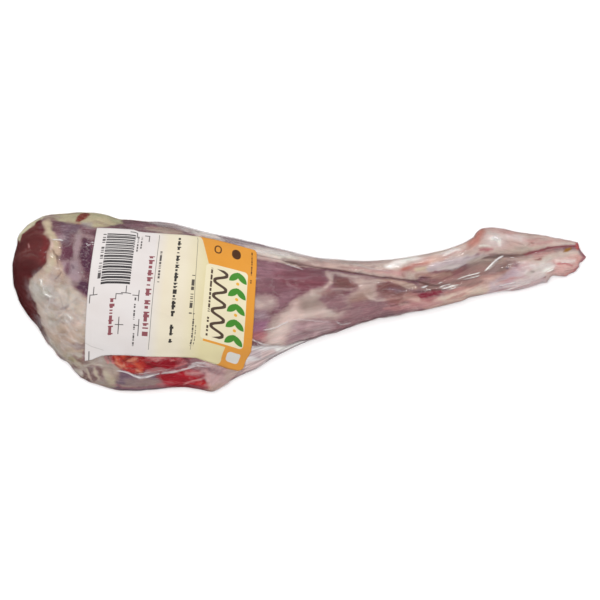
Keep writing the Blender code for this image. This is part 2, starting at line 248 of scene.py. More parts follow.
TOP_PAINT = drawn("""
purple 1 4.8: 44,205 132,205 132,300 90,300 75,288 58,284 50,262 58,250 50,235
violet 0.7 3.5: 60,222 82,221 79,230 70,233 69,244 61,242
lilac 0.9 2.4: 56,235,1 60,236.6,2.6 64,238,1.8
mauve_deep 0.95 2.9: 61,247 72,245 74.6,252 72,258 66,259.6 60,255.6
mauve_deep 0.95 2.9: 82.6,244 93,242 93,268 86,273 80.6,262
mauve_grey 0.7 2.2: 83,234.4,2.2 92,237,2.6
mauve_grey 1 2.6: 79,231,2.6 78,238,3.8 77.4,246,4 76.2,254,3 75.4,262,2.6 73,272,2.8
lilac 0.7 2: 78,236,2.2 77.2,246,2.8 76.4,254,2
purple_dark 1 2.6: 85.6,242.6,2 86,253,4.4 86.6,266,3.2
lilac 1 5.1: 60,262 76,261 81,271 79,282 66,285 60,274
mauve_grey 0.6 2: 71,283,1.4 79,285.6,1.4
mauve_deep 0.8 2.4: 67.6,264.6,1.6 67.2,270,2.8 65,275,1.8
purple_dark 0.8 1.3: 71.6,265.6,0.8 72.4,268,0.7
purple_dark 1 0.8: 80,282.4,0.7 86,285.4,1.2 94,289,1.6
purple_dark 1 0.8: 79,287.6,0.6 86,291.4,1.2 94,296.6,1.6
silverskin 1 3.2: 27,288 28,279 34,274 42,269 50,263 59,268 63,277 70,284.6 77,292 84,298 96,302 102,362 \
    86,369 64,364 50,348 37,326 35.6,308 29,296
silver_cool 0.85 3.8: 29,281 38,274 48,276 51,288 46,300 38,304 31,294
shine 0.5 2: 40.6,279,1.2 41.4,284,1.4
shine 0.5 2: 44,292.6,1 48,295.6,1.4
shine 0.45 2: 67.6,314,1 72,318,1.6
shine 0.4 2: 64,320,0.8 68,323,1.2
silver_warm 0.8 5: 56,290 76,296 90,302 90,324 76,328 68,314 54,304
silver_warm 0.95 3.6: 39,310 49,308 54,318 47,326 40,321
silver_warm 0.7 2.4: 39,313,1.6 42,321,2.2 37,323,1
tendon_white 0.5 3: 41,313,2 47,317,3 50,323,2
silver_warm 0.8 3: 78,328 90,326 90,338 80,337
silver_shade 0.9 1.6: 60,309,0.8 63.6,308.2,1.9 67.6,306,0.8
silver_shade 0.5 1.6: 61,312,0.6 55,317,0.9 50,320,0.4
silver_shade 0.5 1.4: 66,305,0.5 72,301,0.8 77,299,0.4
silver_shade 0.4 1.4: 66,311,0.5 72,315,0.8 78,321,0.4
silver_shade 0.4 1.4: 62,303,0.5 58,296,0.8 56,290,0.4
silver_shade 0.5 4: 46,297,1.6 51,302,3.4 58,306.6,2
membrane_brown 0.45 5: 48,319,1.6 56,321.6,2.4 62,331,3 60,338,3
membrane 0.8 6: 50,330 72,326 88,336 88,352 66,352 52,346
membrane_mauve 0.75 3.6: 72,344 88,341 88,352 74,353
violet_beige 0.8 2.4: 70,345.6,1 80,347,2.4 86,351,2
silver_warm 0.8 0.9: 65,326,0.6 68,334,1.1 73,340.6,1.1 82,343.6,0.8
seam 0.7 0.8: 56,328,0.6 56.2,335,0.9
seam 0.7 0.8: 64,353.4,0.6 76,352.4,0.9 86,352.4,0.7
olive 0.8 3.6: 62,356 84,355.6 87,367 78,369 68,363
flank_beige 1 4.2: 76,371 84,364 96,352 112,352 121,371 124,396 96,392 78,383
silver_warm 0.6 2: 71,370,1 76,373,2 81,375,1.2
tendon_white 0.45 2: 70,369.6,1.4 76,372.4,2.4 82,374.6,1.4
membrane_mauve 0.9 2: 73,356.4,1.2 80,360.4,2.2 86,364.4,2.8 92,366,1.2
seam_shade 0.45 2: 79,360.6,1.4 86,364.4,2.6 91,366,1
mauve_rose 0.8 1.3: 83.6,353.6,0.8 84.4,360.4,1.2
silver_cool 0.7 2: 46,337,1 53,347,1.8 60,355,1.2
fat_cap 1 2: 38,206 80,202 126,206 122,222.4 112,225.4 100,226.4 92,225.4 84,223.6 76,221.6 66,222.2 \
    57,219 48,217.6 40,219
cap_grey 0.7 2.6: 80,222 92,221 92,227 84,226
mauve_grey 0.8 1.6: 41,218,0.8 50,215.6,1.6 59,217,0.8
fat_red 1 1: 75.4,219.6 76.8,216 82,212.6 90.6,213 87.6,216.6 82.6,219.4 79,221
seam_peach 1 2.6: 43.4,221 47,219.4 52,220.8 52.6,226 50.6,230.4 54.6,232.4 57,237 60,240.4 61.4,246 \
    60.8,252 58.4,257 58.8,263 61,270 61,282 46,284 36,282 34,276 43,268 46,262 45.6,254 48,248 49.6,244 \
    49,239.6 45,234.6 43.4,229
seam_bright 0.85 2: 45,222,1 48,221.6,2.4 48.4,227,2.8 48.6,231.4,2.2 52,236,2.6 55,240.6,2 56.4,246,1.4
seam_shade 0.45 1.6: 52.6,226,0.8 51.4,230.4,0.8
seam_bright 0.6 2.4: 53,257,1.6 52,264,2.6 47,272,2.4
seam_shade 0.8 0.7: 51,247.2,0.5 54,251,0.8 57.4,256,0.9 57,263.6,0.6
silver_shade 0.5 1.6: 58.6,256,0.8 57,266,1 59.6,272,0.8 55,279,0.5
cream_pink 0.5 1.8: 49.8,239,0.8 51.4,243.6,2 50.4,248,1
blush 0.6 2: 47.6,252,1 47,257,1.4
cut_red 1 1.2: 39.3,220.6 41.5,224 43,228.4 43,233 45,235.8 47.6,239.2 46.6,243.4 48.4,247.6 46.4,250.8 \
    45,256 45.6,261.6 44,265 41,268.4 36.2,272.4 31.2,276.8 28.4,280 27.4,287 29,293.4 31.4,298.6 \
    35.4,304.4 36.2,311 38.2,319 43,329 30,336 0,300 0,246 17,239 22,234 28,229.6 34.6,223.4
cut_dark 0.9 6: 0,262 30,266 38,270 26,281 29,300 38,322 42,334 10,334
cut_bright 0.8 3.5: 45,237,1.6 46.4,243,2.6 44,250,2.6 42,262,1.6
mauve_deep 0.5 2.6: 40.6,223,0.8 41,229,1.4
rim 1 0.9: 15,243,0.6 20,233.6,1.8 26,227.4,2.6 34,221,2 41,216,1.4
blush 0.8 0.6: 27.8,243.6,0.5 28,247,0.6
edge_dark 0.5 1.2: 37,321,0.8 43,333,1.1 47,340,0.6
edge_dark 0.5 1.2: 58,356,0.5 61.6,360,1.4 64,362,0.5
purple 1 2.6: 112,227,2 124,225.6,2.8 135,225,4 158,227.6,4 180,232,3
mauve_pale 0.6 2.4: 126,224,1 140,223.6,1.8 156,225,1.4
mauve_grey 0.5 2: 132,228,1.6 146,228,2
mauve_grey 0.8 2: 146,227.6,1.2 160,229.4,2.6 174,231.4,2.6 188,234,1.8
membrane 0.55 2: 148,227,1.8 164,229,3.4 180,231.6,2.6
tendon_white 0.75 2.6: 150,219,0.8 176,223,2 200,231,3.4 222,236,2.6
tendon_white 0.9 1.8: 187,228,1.4 200,231.6,3 213,234.4,3 224,237.6,2.2
mauve_deep 0.9 2.2: 222,236,1.6 240,241,3 262,246.6,1.4
tendon 1 1.6: 244,244 256,246 290,247 330,253 365,254 400,251 440,242 465,234 482,230 484,250 465,258 \
    440,268 416,280 399,278.4 380,276 362,273 348,270.4 332,267.6 312,266 300,266 278,261 256,258.4 \
    244,254
tendon_white 0.9 3: 254,250.4,1.6 266,251.6,3.6 284,256,3 302,259.4,1.8 318,261.6,0.8
tendon_shade 0.8 1.8: 306,261.6,0.7 336,260.6,1.2 352,262,1.5 372,261.6,1.3 388,260,0.6
tendon_shade 0.9 1.8: 283,258.6,0.8 292,260,1.8 302,261.6,1.6 310,262.4,0.8
tendon_shade 0.6 1.6: 309,260,0.8 317,260,1.6 324,260.6,0.8
tendon_shade 0.8 1.8: 338,266.4,0.8 349,267.6,1.8 362,267,1.2 374,266,0.7
shine 0.95 2.6: 386,266,1.4 391,265.4,3.2 398,261.6,3.2 407,259,2 424,256.4,0.7
rose_pink 0.7 3: 352,267,0.8 374,270.6,1.2 390,272.6,2 404,274,2.4
pink_cream 0.85 3.6: 424,257,2 445,250.6,3 462,245,3 474,239,2
apricot 0.9 4: 424,262,2 434,259.6,2.4 444,257.6,1.4
blush 0.8 3.2: 400,271.6,1.6 406,269,2.4 414,270.4,1.2
orange_blush 0.95 3: 403,269,0.9 408,267.6,2 414,265,2.6 420,263.4,1.8 427,262.4,0.8
brick 0.7 1.6: 402.6,275,0.8 404.4,277,0.9
butter 0.85 2.2: 416,269.8,1 423,268.4,1.7 431,266.6,1
tendon_white 0.7 2: 434,254.6,0.8 448,250,1.4 460,247,0.8
hock_white 0.8 2: 444,254,1.2 452,251.4,2.4 460,249,1.2
shine 0.6 1.8: 446,253.6,1 453,251.2,2 460,249,1
pink_stripe 0.7 1.6: 442,258.4,0.6 454,253.6,1 468,248,0.8
bluish 1 2.2: 430,268.4,1.2 438,267.8,3 447,266.4,4.6 456,264.6,4.6 464,262,3.6 478,257.4,3.2 488,255,1.8
tan_rose 0.8 2.4: 416,275.6,1.4 436,275,2 448,273.6,1.4 464,268.6,0.7
mauve_pale 0.8 7.5: 254,261 272,261 280,267 272,276 254,278
mauve_red 0.65 6.7: 274,272 298,267 318,270 327,281 320,289 300,292 286,291 280,282
wine 0.6 3.6: 284,281,1.2 300,283,2.4 322,282,1.6
mauve_pale 0.6 2.8: 278,277,0.8 296,277.6,1.1 312,276.6,0.8
mauve_pale 0.7 4: 270,304 278,296 290,287 298,290 288,302 276,311
cream_grey 0.5 3: 292,304,1.6 301,299,2.6 308,296,1.2
mauve_pale 0.5 3: 276,267.6,2.4 290,268.6,2
cream_grey 1 6: 250,297 262,295 274,297 278,305 270,311 256,309 250,305
lilac 0.8 4.8: 250,311 266,312 270,318 262,322 250,321
orchid 0.8 4.2: 248,322 268,321 270,329 262,334 247,333
rose 0.8 3.5: 252,334 270,331 273,338 266,342 250,340
blush 0.4 2.4: 257,339.4,2.2 265,340,2.4
cream 1 5.6: 264,349 266,337 269,327 274,318 284,311.6 294,301 308,292.6 320,289.4 334,291 348,299 352,307 \
    345,316 336,321 316,321 298,322 291,332 290,348
cream_pink 0.85 6: 266,349 272,335 282,320 295,309 306,314 294,324 287,337 287,349
olive_grey 0.9 5: 302,300 318,298 326,304 320,311 306,312 299,308
cream_pink 0.6 5: 306,314,2.4 320,312,3.4 331,311,3
haze_mauve 1 6: 294,325 310,323 326,323.4 333,329 318,339 300,346 287,348 290,335
mauve_mid 1 4: 319,300 323,293.6 336,291.6 347,298 348,309 339,314 327,309
mauve_rose 0.6 3: 300,331,1 306,334,2 312,333,1
mauve_pale 0.7 3: 288,343,1 298,338.6,1.8 312,334,1.2
haze_mauve 0.6 3: 328,325 338,322 346,324 338,330 327,331
haze_mauve 0.7 3: 317,323.6,2.4 328,325,3
cream 0.95 2.6: 313,291.6,2 324,288,1.8 330.6,283,1.9 331.6,277,1.9 327,271.6,1.6
cream_grey 1 2.8: 331,272.4,1.4 345,274.4,1.4 357,277.4,2
tan_rose 0.45 2: 342,268.4,1.4 354,269.6,1.6
cream 1 5.3: 352,279 360,276.6 378,278.4 381,282 375,290 379,297 372,301 364,298 356,300 349,297 358,288
muscle_dark 1 4: 335.6,281 339,278.6 348,278.6 352,282 356,284.6 351,286.4 340,286.6 335.6,284.6
muscle_dark 0.6 3.6: 323,295 331,291.6 341,290.8 348,291 345,294 338,296 329,297.4
cream_grey 0.6 2: 334,289.4,0.7 342,288.8,0.9 351,289.4,0.7
brick 0.45 2: 319,293,1.6 329,291,1.8
tan_brown 0.8 4.5: 351,297 366,295 371,301 358,305 349,304
mauve_mid 1 5.3: 350,305 366,302.6 380,302 398,300 416,302 418,311 380,319 352,328 336,332 343,319
hollow 0.8 5.9: 376,290 392,292 410,293 404,299 386,299 378,296
cream_light 0.8 1.6: 366,294,1.4 371,298.6,1.6 376,300.6,1.3 386,300.2,1.2 399,297.6,0.8
tan_brown 0.5 4: 355,292 371,288 374,298 360,299
muscle_dark 1 4.6: 377,285 386,282.8 396,284.4 403,287.4 409,290.6 400,292.4 388,292 379,289.6
violet_grey 0.8 2.8: 390,289,1 397,290.4,1.5 404,291.4,0.9
muscle_dark 0.7 2: 398,293.4,1.6 409,293.6,2
brick 0.8 4.5: 386,298 402,295 408,300 400,306 388,305
blush 0.7 2.4: 384,309.4,0.8 396,309.8,1.8 406,307.6,1.4 414,305.4,1.8
line_dark 0.9 0.7: 391,307,0.6 393.6,307,0.6
tan_rose 0.8 4.5: 404,294 418,292.6 421,301 408,303
tan 0.9 1.8: 377.4,278.8,1 390,280.2,1.7 402,282.6,2.6 411,285.8,3 415,287,2.4
edge_dark 0.6 1.2: 300,346,0.5 329,335.6,0.9 355,326.6,1.1 380,319,1 402,313.6,0.6
hollow 1 3: 418,282 430,279.6 440,278 450,275.4 460,273 470,268.6 484,262 504,257.4 513,260 515,268 \
    508,275 496,279 482,281 464,286 446,290 426,291 418,288
hollow_olive 0.8 5: 468,262 482,257 506,254.6 512,258 500,262 482,265 470,267
hollow_violet 0.8 3: 486,269 494,264 502,262 504,270 496,275 488,275
hollow_dark 0.9 2.4: 498,270.4,1.6 505,267.6,3 511,261,1.6
tan_rose 0.6 2.6: 490,277.4,1.6 500,274.6,2.2 508,270.4,1.2
brick 0.5 2: 486,277.8,1.4 494,275.8,2.2 502,272.4,1.4
red_shade 0.4 3: 432,280,1.2 448,277,1.8 462,272,1.2
bluish 0.8 2: 440,268.8,1.4 452,267.6,2.6 463,264.6,2
tan_rose 0.7 2: 432,276.6,1.4 442,276.4,2.2 452,274.4,1.4
tan 0.5 2.4: 430,276,1.6 440,275.4,2.6 450,274,1.6
hock_pale 0.6 2.2: 438,268.4,1.4 448,267.6,2.6 458,266,1.8
hock_grey 0.5 2: 469,262,1.4 480,259,1.8
brick 0.9 2.6: 456,284,1.2 470,283.6,2.6 482,279.6,1.8 492,276.4,1.6
pink_cream 1 4.1: 404,298.4 436,297.6 454,291 478,283 500,277 503,294 480,299 455,306 440,310 428,312
hock_cream 0.6 3: 470,292,1.6 484,291,2.6 498,288,1.8
tan_rose 0.5 2: 444,306,0.8 460,302.6,1.3 476,298.6,0.8
rose 0.5 3: 408,301,1.4 418,306,2.4 428,308,1.6
pink_cream 0.6 2: 400,304,0.7 410,307.6,1.4 418,310,0.7
groove_pink 0.5 2: 422,301.4,1.6 433,300.4,2.2
rose_pink 0.8 2.8: 402,308.6,1.2 413,308,2.8 426,306,3 441,303.6,1.4
cream_bright 0.9 1.6: 439,300.4,0.8 447,298,1.8 456,295,1
cream_bright 0.8 0.9: 458,298,0.7 474,294,1.2 492,289.6,1
pink_stripe 0.9 2.2: 444,293.6,0.9 458,290,1.6 470,286.6,2 482,282.4,1.4
pink_stripe 0.7 1.6: 448,301,0.8 464,295.6,1.1 486,290.4,0.8
hollow_dark 0.8 2: 458,287,1.2 469,285,2.4 481,281.6,1.6
brick 0.4 2: 466,285,1 478,282.6,1.4
cream_bright 0.8 2.4: 468,293.6,1 477,292,2.6 486,291.4,2.2 494,289.6,1.2
rose 0.6 2.2: 421,300,1.4 429,300.4,2.2 436,298.4,1.2
red_spot 1 2: 420.6,297,1.2 426.6,295.8,2.5 434,293,2.2 440,292,1
lavender 1 3.2: 492,284 504,278 513,272 517,265 527,258.5 550,254 577,250 592,262 574,284 560,288 548,292 \
    525,298 500,300 489,294
hock_blue 0.6 4: 506,275 514,268 518,276 508,283 501,281
hock_pale 0.6 2.2: 494,285.4,1.6 502,283.6,2.4
hock_pale 0.6 5: 526,261 540,260 552,264 552,276 540,280 530,281 526,271
hock_pale 0.6 3: 539,276.4,1.8 552,276,2.8
rose_pink 0.5 3: 520,268,2 526,266,3 530,270,2
hock_white 0.95 2: 543,272,1.4 549,269.4,3.2 557,266.6,1.4
hock_white 0.8 1.4: 516,282.6,0.7 522,281,1.2 530,279,0.8
hock_white 0.7 1.4: 526,274,0.8 528,270,1.2
hock_white 0.8 1.4: 535,266,0.8 536.6,270.4,1.4
rose_pink 0.5 2.8: 496,285,1.2 512,280.6,1.4 528,279,1
rose_pink 0.6 1.8: 500,292,0.8 516,288.6,1.3 534,284,1.2 546,280,0.8
hock_white 0.8 1.2: 504,288.6,0.6 518,285.6,1 530,282.6,0.6
pink_stripe 0.6 1.6: 500,283,0.7 514,279,1.1 524,277,0.6
hock_grey 0.6 2.4: 527,276,1.2 532,272,1.8 540,270,1.2
rose_pink 0.5 2: 520,265,1 528,262.6,1.6 538,263,1
pink_stripe 0.6 1.6: 546,262,0.7 556,260.6,1.1 566,258.6,0.7
hock_pink 1 3.6: 471,238 480,222 500,218 520,224 550,229 584,233 585,245 560,246 545,248.6 528,253 508,255 \
    492,254 480,253 472,248
hock_grey 0.8 4.9: 494,250 518,247 542,244 546,247 528,253 500,255
heel 0.9 6.3: 484,231 498,228 507,234 505,247 494,249 486,244
blush 0.6 3.6: 490,228,1 504,230,1.8 518,233.6,1
heel 0.8 3: 509,236,1.8 518,237,2.6 526,238,1.4
hock_white 0.45 3: 508,235,2 517,236.6,3 526,237.6,1.6
blush 0.5 2: 524,238,1 532,240,1.8 540,237,1
rose_pink 0.5 1.8: 530,246,0.8 540,242,1.4 552,240.6,1
hock_pale 0.5 2: 554,242.6,1 565,243.6,1.8 574,243.4,1.2
hock_cream 0.5 2: 540,246.6,0.7 556,243.6,1.2 570,243,0.7
heel_blush 1 3.8: 470,243.6,0.8 474.4,239.4,2.6 479.4,233.4,2.5 482,230,1.3
shine 0.85 2.8: 492,238.6,1.4 498,239.6,1.8 500,243.6,1.6
tendon_white 0.9 0.8: 478.6,245.4,0.6 485,245.8,0.9 490,246.6,0.5
red_shade 0.95 2: 479.6,248.8,0.6 486,249.6,1.7 493,249.4,0.8
hock_cream 0.9 4.9: 512,257.4 530,256 550,251.6 562,250 560,260 540,262 518,261
tan_rose 0.4 2.4: 528,260,1.8 536,259,2.2
blush 0.7 2.8: 534,255.4,1 546,252.6,1.8 554,250.6,1
hock_cream 0.8 3: 560,252 578,249 582,256 574,259.6 561,259
hollow_dark 0.9 1.2: 484,258.4,0.8 496,257,1.3 512,255.6,1.6 526,254.2,1.2
tan_brown 0.5 2: 517,254.4,1.4 531,251.6,1.8
groove_pink 0.9 1: 526,253.8,0.8 536,251.2,1.1 545,248.8,1.1 556,246.4,0.7 576,246,0.7
hollow_dark 1 1: 507.2,266,1.5 507.8,268,1.6
violet 0.95 0.7: 507.4,266.6,1.3 507.6,268.2,1.4
tan_rose 0.9 1.4: 535.6,258.4,1 541,257.4,1.8
red_spot 0.7 0.8: 538,257.8,0.7 540,257.2,0.9
red_spot 0.95 0.7: 544.6,279.2,0.9 546.4,278.4,1
silver_shade 0.8 0.9: 531.4,271.6,1 533.4,272.6,1
brick 0.7 0.8: 528.6,243.4,0.6 531,241.4,0.8 534,243.6,0.7
tip_pink 1 3.6: 554,262 566,259 580,256 592,256 588,266 576,280 566,284 550,282 550,272 560,266
tip_red 0.95 0.9: 559.6,264,0.7 566,263,1.6 573,265,1.1
shine 0.85 2.8: 557,261,0.6 566,259.8,1 575,260.6,0.8
shine 0.8 1.6: 544.6,271,0.8 548.6,269.4,1.6 555,267.2,0.8
tip_red 0.95 1.6: 575,242 582,240 585,249 577,249.6
tip_rim 0.85 1.8: 582,250.6,0.8 585.6,257,1.8 581,265,1.4 576,271,0.8
tip_red 0.7 2: 576,273,1 566,277,1.2 556,277,0.8
yolk 0.95 0.8: 564.4,251.6,0.7 567.2,249.8,1.5 570.4,248,0.8
membrane_mauve 0.8 2: 84,370 92,366 104,368 106,380 94,382
flank_brown 0.95 1: 87,369.4,0.9 90.8,370.6,1.8 90.4,374,1.3
flank_brown 0.9 1: 96,368.6,0.9 99.4,371.4,1.8 100.4,375,1.1
flank_brown 0.95 1: 91.6,377,1.2 95,378.8,2.2 94.6,382,1
flank_brown 0.9 1: 97,375,0.8 101.6,377.4,1.3
flank_brown 0.9 1: 82.4,372.6,0.9 85,376.4,1.6 84.4,379,0.8
flank_brown 0.8 1: 87,378,0.9 89.6,381.6,1.4
flank_brown 0.6 1.2: 98,368,0.8 101,371,1.2
flank_cream 0.9 0.9: 86,370.6,0.6 88,374.4,1.1 88.6,378,0.8
flank_cream 0.9 0.9: 94.2,369.6,0.7 95.4,373.6,1.2 98,380,0.8
silverskin 0.9 0.9: 84,367,0.6 92,364.4,0.9 102,366.6,0.7
flank_cream 0.9 2.4: 104,372,2 109,379,3.6 113,385,2.8
edge_dark 0.7 1.6: 76,375,1.2 82,379.6,1.5 92,384,1
violet_grey 1 3.6: 121,372 140,378 166,374 172,398 114,396 117,384
violet_beige 1 3.4: 124,381 140,379.6 158,379 166,386 160,389 126,387
violet 0.6 2.4: 121,374.6,0.8 127,377,1.6 133,379,0.9
strip_mauve 0.9 1.4: 112,385.6,0.7 122,388.6,1.3 140,389.6,1.3 158,388.4,1.2 170,386.4,0.7
flank_cream 0.5 1: 120,386.6,0.4 128,388.2,0.8 136,388.6,0.4
rose 0.8 2: 158,386.4,1.8 165,387.4,2.8 172,388,1.6
film_mauve 1 3.2: 184,354 200,356 224,364 266,364 242,388 218,398 206,389 205,369 190,367
seam_peach 0.8 2: 224,372 240,364 256,362 244,374 228,384
red_wet 1 3: 160,377 168,374.6 178,372 188,370.6 193,373.4 197.6,372.4 199,376.4 197,379.6 203,381.4 \
    206.4,385 202,387.6 196,386.2 190,388.6 173,389.6 166,386
red_wet 0.6 3: 158,377,0.9 168,376,1.4
flesh_deep 0.8 2: 172,376,1.4 182,380,2.6 188,384,1.4
wine 0.6 1.6: 164,388.6,0.8 176,387.6,1 194,388,0.8
mauve_rose 0.9 2: 202,366,1.6 210,370.4,3 218,372.6,2.4 226,374,1
wine 0.6 1.6: 204,366.6,1 212,371,2.2 220,373.6,1.2
flesh_rose 0.8 2: 186,373,1.4 196,373.6,2.4 203,376,1.6
flesh_rose 0.6 1.6: 166,383,0.8 173,384.6,1
flesh_blush 0.8 1.2: 184,385.4,0.6 192,382.4,1 200,380.6,1 206,377,0.6
film_mauve 0.7 2.6: 186,374,0.8 196,373.6,1.4 206,371,1.8
red_bright 0.95 1.6: 196,385.4,0.9 201,385,1.9 204.4,384.6,1.2
tan_tip 1 2.6: 205,389.6,1.8 212,391,2.8 220,387.6,2.2
flesh_rose 0.85 2: 197,388,1.8 206,388.6,2.2
flesh_brown 1 1.6: 103,350 114,350 114,363 105,361.6
flesh_rose 1 2.4: 137,350 192,350 194,360 187,366 168,371 148,373 138,367
flesh_blush 0.8 2: 150,355 163,354 160,362 152,360
flesh_deep 1 1.6: 136.6,358 143,357.4 151,361 161,364 173,363.4 176,366 168,369.6 152,370.6 146,369.4 \
    141,363
flesh_dark 0.5 1.6: 174,362,1 181,364.4,2 186,365.4,1
flesh_dark 0.6 1.6: 140,360,0.8 148,364.6,1.6 156,367.6,1
mauve_rose 0.8 3: 186,361 196,357 203,362 196,367 178,370 168,372.4 178,367
wine 0.9 0.9: 182,358.6,0.8 187,361,1.6 190.6,364,0.8
flesh_red 1 1.4: 111,350 139,350 144,366 142,374 128,372 115,366
""", "colour strength soft")

CUT_FACE, SILVERSKIN = (next(mark.points for mark in TOP_PAINT if mark.colour == colour)
                        for colour in ("cut_red", "silverskin"))

UNDER_PAINT = drawn("""
mauve_deep 0.5 14: 90,330 160,345 230,340 230,300 120,300
mauve_red 0.6 12: 180,262 250,268 320,282 300,300 220,292 170,284
mauve_pale 0.6 10: 110,262,6 170,256,9 230,262,6 290,268,4
wine 0.5 8: 250,330,6 300,318,7 350,308,5
silverskin 0.8 12: 30,262 62,240 100,236 124,256 112,300 92,330 60,336 40,314
silver_cool 0.6 9: 56,262,8 84,270,12 96,296,8
fat_cap 1 5: 44,214 120,210 150,220 130,232 96,236 66,230 52,236 40,226
cream 1 4: 84,378,3 120,386,5 168,386,4 204,384,6 232,372,3
rose 0.7 3: 150,388,2 176,391,2.4
tip_red 0.6 3: 194,390,2 207,391,2.4
cream_grey 0.7 9: 196,300,6 236,304,12 280,300,8 312,296,3
seam 1 2.6: 96,250,1 140,266,2 190,276,1.4 250,284,2.2 310,288,1.2 360,284,0.8
silverskin 1 3: 92,322,1 140,328,2.6 196,326,1.4 250,318,2 300,310,1.2 344,304,0.8
silver_warm 0.8 5: 130,300,1 168,306,5 214,304,2
tendon 0.8 5: 330,270,2 380,276,3 430,272,6 476,256,8
muscle_dark 0.7 6: 350,296,4 400,292,6 446,284,4
tendon_white 0.8 2.4: 360,268,1 410,264,2.4 460,250,1.6
cream_grey 0.8 4: 404,304,2 440,298,3 476,290,2
lavender 1 7: 486,220 604,226 604,296 480,300
hock_pink 0.7 6: 490,236,5 530,240,7 574,246,5
hock_pale 0.6 5: 510,276,4 540,268,6 566,264,3
rose_pink 0.6 3: 500,258,1.6 540,254,2.4 580,252,1.6
blush 0.6 4: 478,240,3 492,232,4
tip_red 0.8 3: 580,240 592,256 584,268 576,250
""", "colour strength soft")

# Strips and lumps of raw flesh and fat that show under the near edge of the label. Each runs
# between two places on the plan.
FLESH_LUMPS = drawn("""
flesh_orange: 112.4,353,1.7 119,361.6,1.7
flesh_salmon: 116,362,1.6 121.4,367,1.6
flesh_orange: 119.6,353,1.5 125.6,360,1.5
flesh_dark: 122.6,360.4,0.8 133,356,0.8
flesh_salmon: 122.6,364.6,1.2 126.6,368.4,1.2
flesh_red: 126.6,366,1.3 131.4,367.4,1.3
flesh_salmon: 128.6,361,1.7 136,358.6,1.7
flesh_orange: 134,362,2.1 141.6,369.4,2.1
flesh_salmon: 136.6,370.4,1.3 141.6,372.6,1.3
flesh_deep: 134.6,355,1 143,359,1
flesh_pink: 105.6,359,1.2 108,364,1.2
flesh_dark: 107,355.6,0.7 110.6,357.4,0.7
flesh_pink: 110,358,0.9 113,363.6,0.9
flesh_pink: 146.6,356.6,1.2 157,361.6,1.2
flesh_pink: 160,359.6,0.8 170,357,0.8
flesh_pink: 171,361.6,0.8 181,357.6,0.8
flesh_pink: 176,367,0.8 187,363.6,0.8
flesh_deep: 166,357,0.7 176,360,0.7
""", "colour", strength=0.85, soft=1.6)
LUMP_HEIGHT = 1.0

# Ridges and hollows of the meat's upper side, in millimetres of height.
RIDGES = drawn("""
-0.9 2.4: 287,261,0.4 316,265.6,1 348,270.7,1 399,279,1 430,283,0.4
0.8 3: 44,219,3 51,232,3 56,246,3.5 50,264,4 31,281,2
0.8 3: 16,240,1 26,226,2 50,215,2 90,214,3 116,218,2
-0.8 2.2: 42,224,0.4 46.4,238,0.6 45,256,0.6 30,277,0.6 32,305,0.6 37,324,0.4
0.7 4: 276,342,4 286,322,5 303,306,5 318,298,4
0.6 4: 356,284,4 370,288,4
-0.8 2.4: 337,281,1 350,283,2
-0.7 2.4: 327,295,1 343,293,1.5
-0.7 2.4: 381,287,1.5 406,290,1.5
0.7 2.4: 379,279.6,1 403,282.4,2 415,285,2
0.9 2.6: 429,268.6,1.6 446,264,2.6 462,260,2.8 480,255,2.4
0.7 2.6: 384,266,1.4 402,260.6,1.8 424,258,1.4 445,252,1.6
-2.4 3.4: 424,285,1 446,279,4 470,271,5 492,265,4 504,261,1
0.9 4: 488,236,4 498,238,4
-1.1 2.2: 484,258.6,0.6 505,255.8,1 528,253.8,1 545,249.2,0.8 577,246.3,0.8
-0.7 1.6: 507,267,0.8 509.4,268.4,0.8
0.8 2: 545,271,1 553,268.6,1.4
-0.7 2: 556,263,0.6 567,262,0.8 576,261,0.6
-2.4 3: 232,382,1 258,366,4 300,347,3 333,337,2 380,321,1
-1.2 2.6: 119,373,0.6 140,378,0.8 166,373,0.8 196,367,0.6
-0.9 2.6: 104,356,0.6 108,366,1 118,388,0.6
0.7 2: 94,371,0.8 95.6,376,1 91,381,0.8
""", "height soft")

# Bumps and notches of the ragged outline: height in millimetres, and radius on the plan.
OUTLINE_BUMPS = drawn("""
1.5 3.2: 586.5,257.6
-0.9 3.4: 582.5,249.5
1.1 3: 578,242.5
-1.2 2.4: 582.5,265
0.3 3: 575,272
-2.2 4.4: 554,280
1.6 3: 566,278.6
0.8 3: 547,283.5
0.6 4: 482,228
1.1 14: 345,331
0.7 10: 320,338
1 14: 260,366
1 13: 284,353
0.9 11: 304,343
1.1 7: 334,334
0.9 9: 370,323
0.7 9: 12,283
0.4 10: 11,264
0.6 9: 336,259
-0.9 6: 115,217
-0.5 9: 180,390
1 7: 19,236
0.5 6: 88,382
-0.7 3: 472.5,236
-1.7 7: 66,366
-1.2 6: 50,352
0.8 3: 81,377
-0.8 5: 469,300
-0.8 9: 409,315
""", "height radius")

# The membrane beside the cut face is drawn into folds round this place.
STAR = (64.0, 309.5)
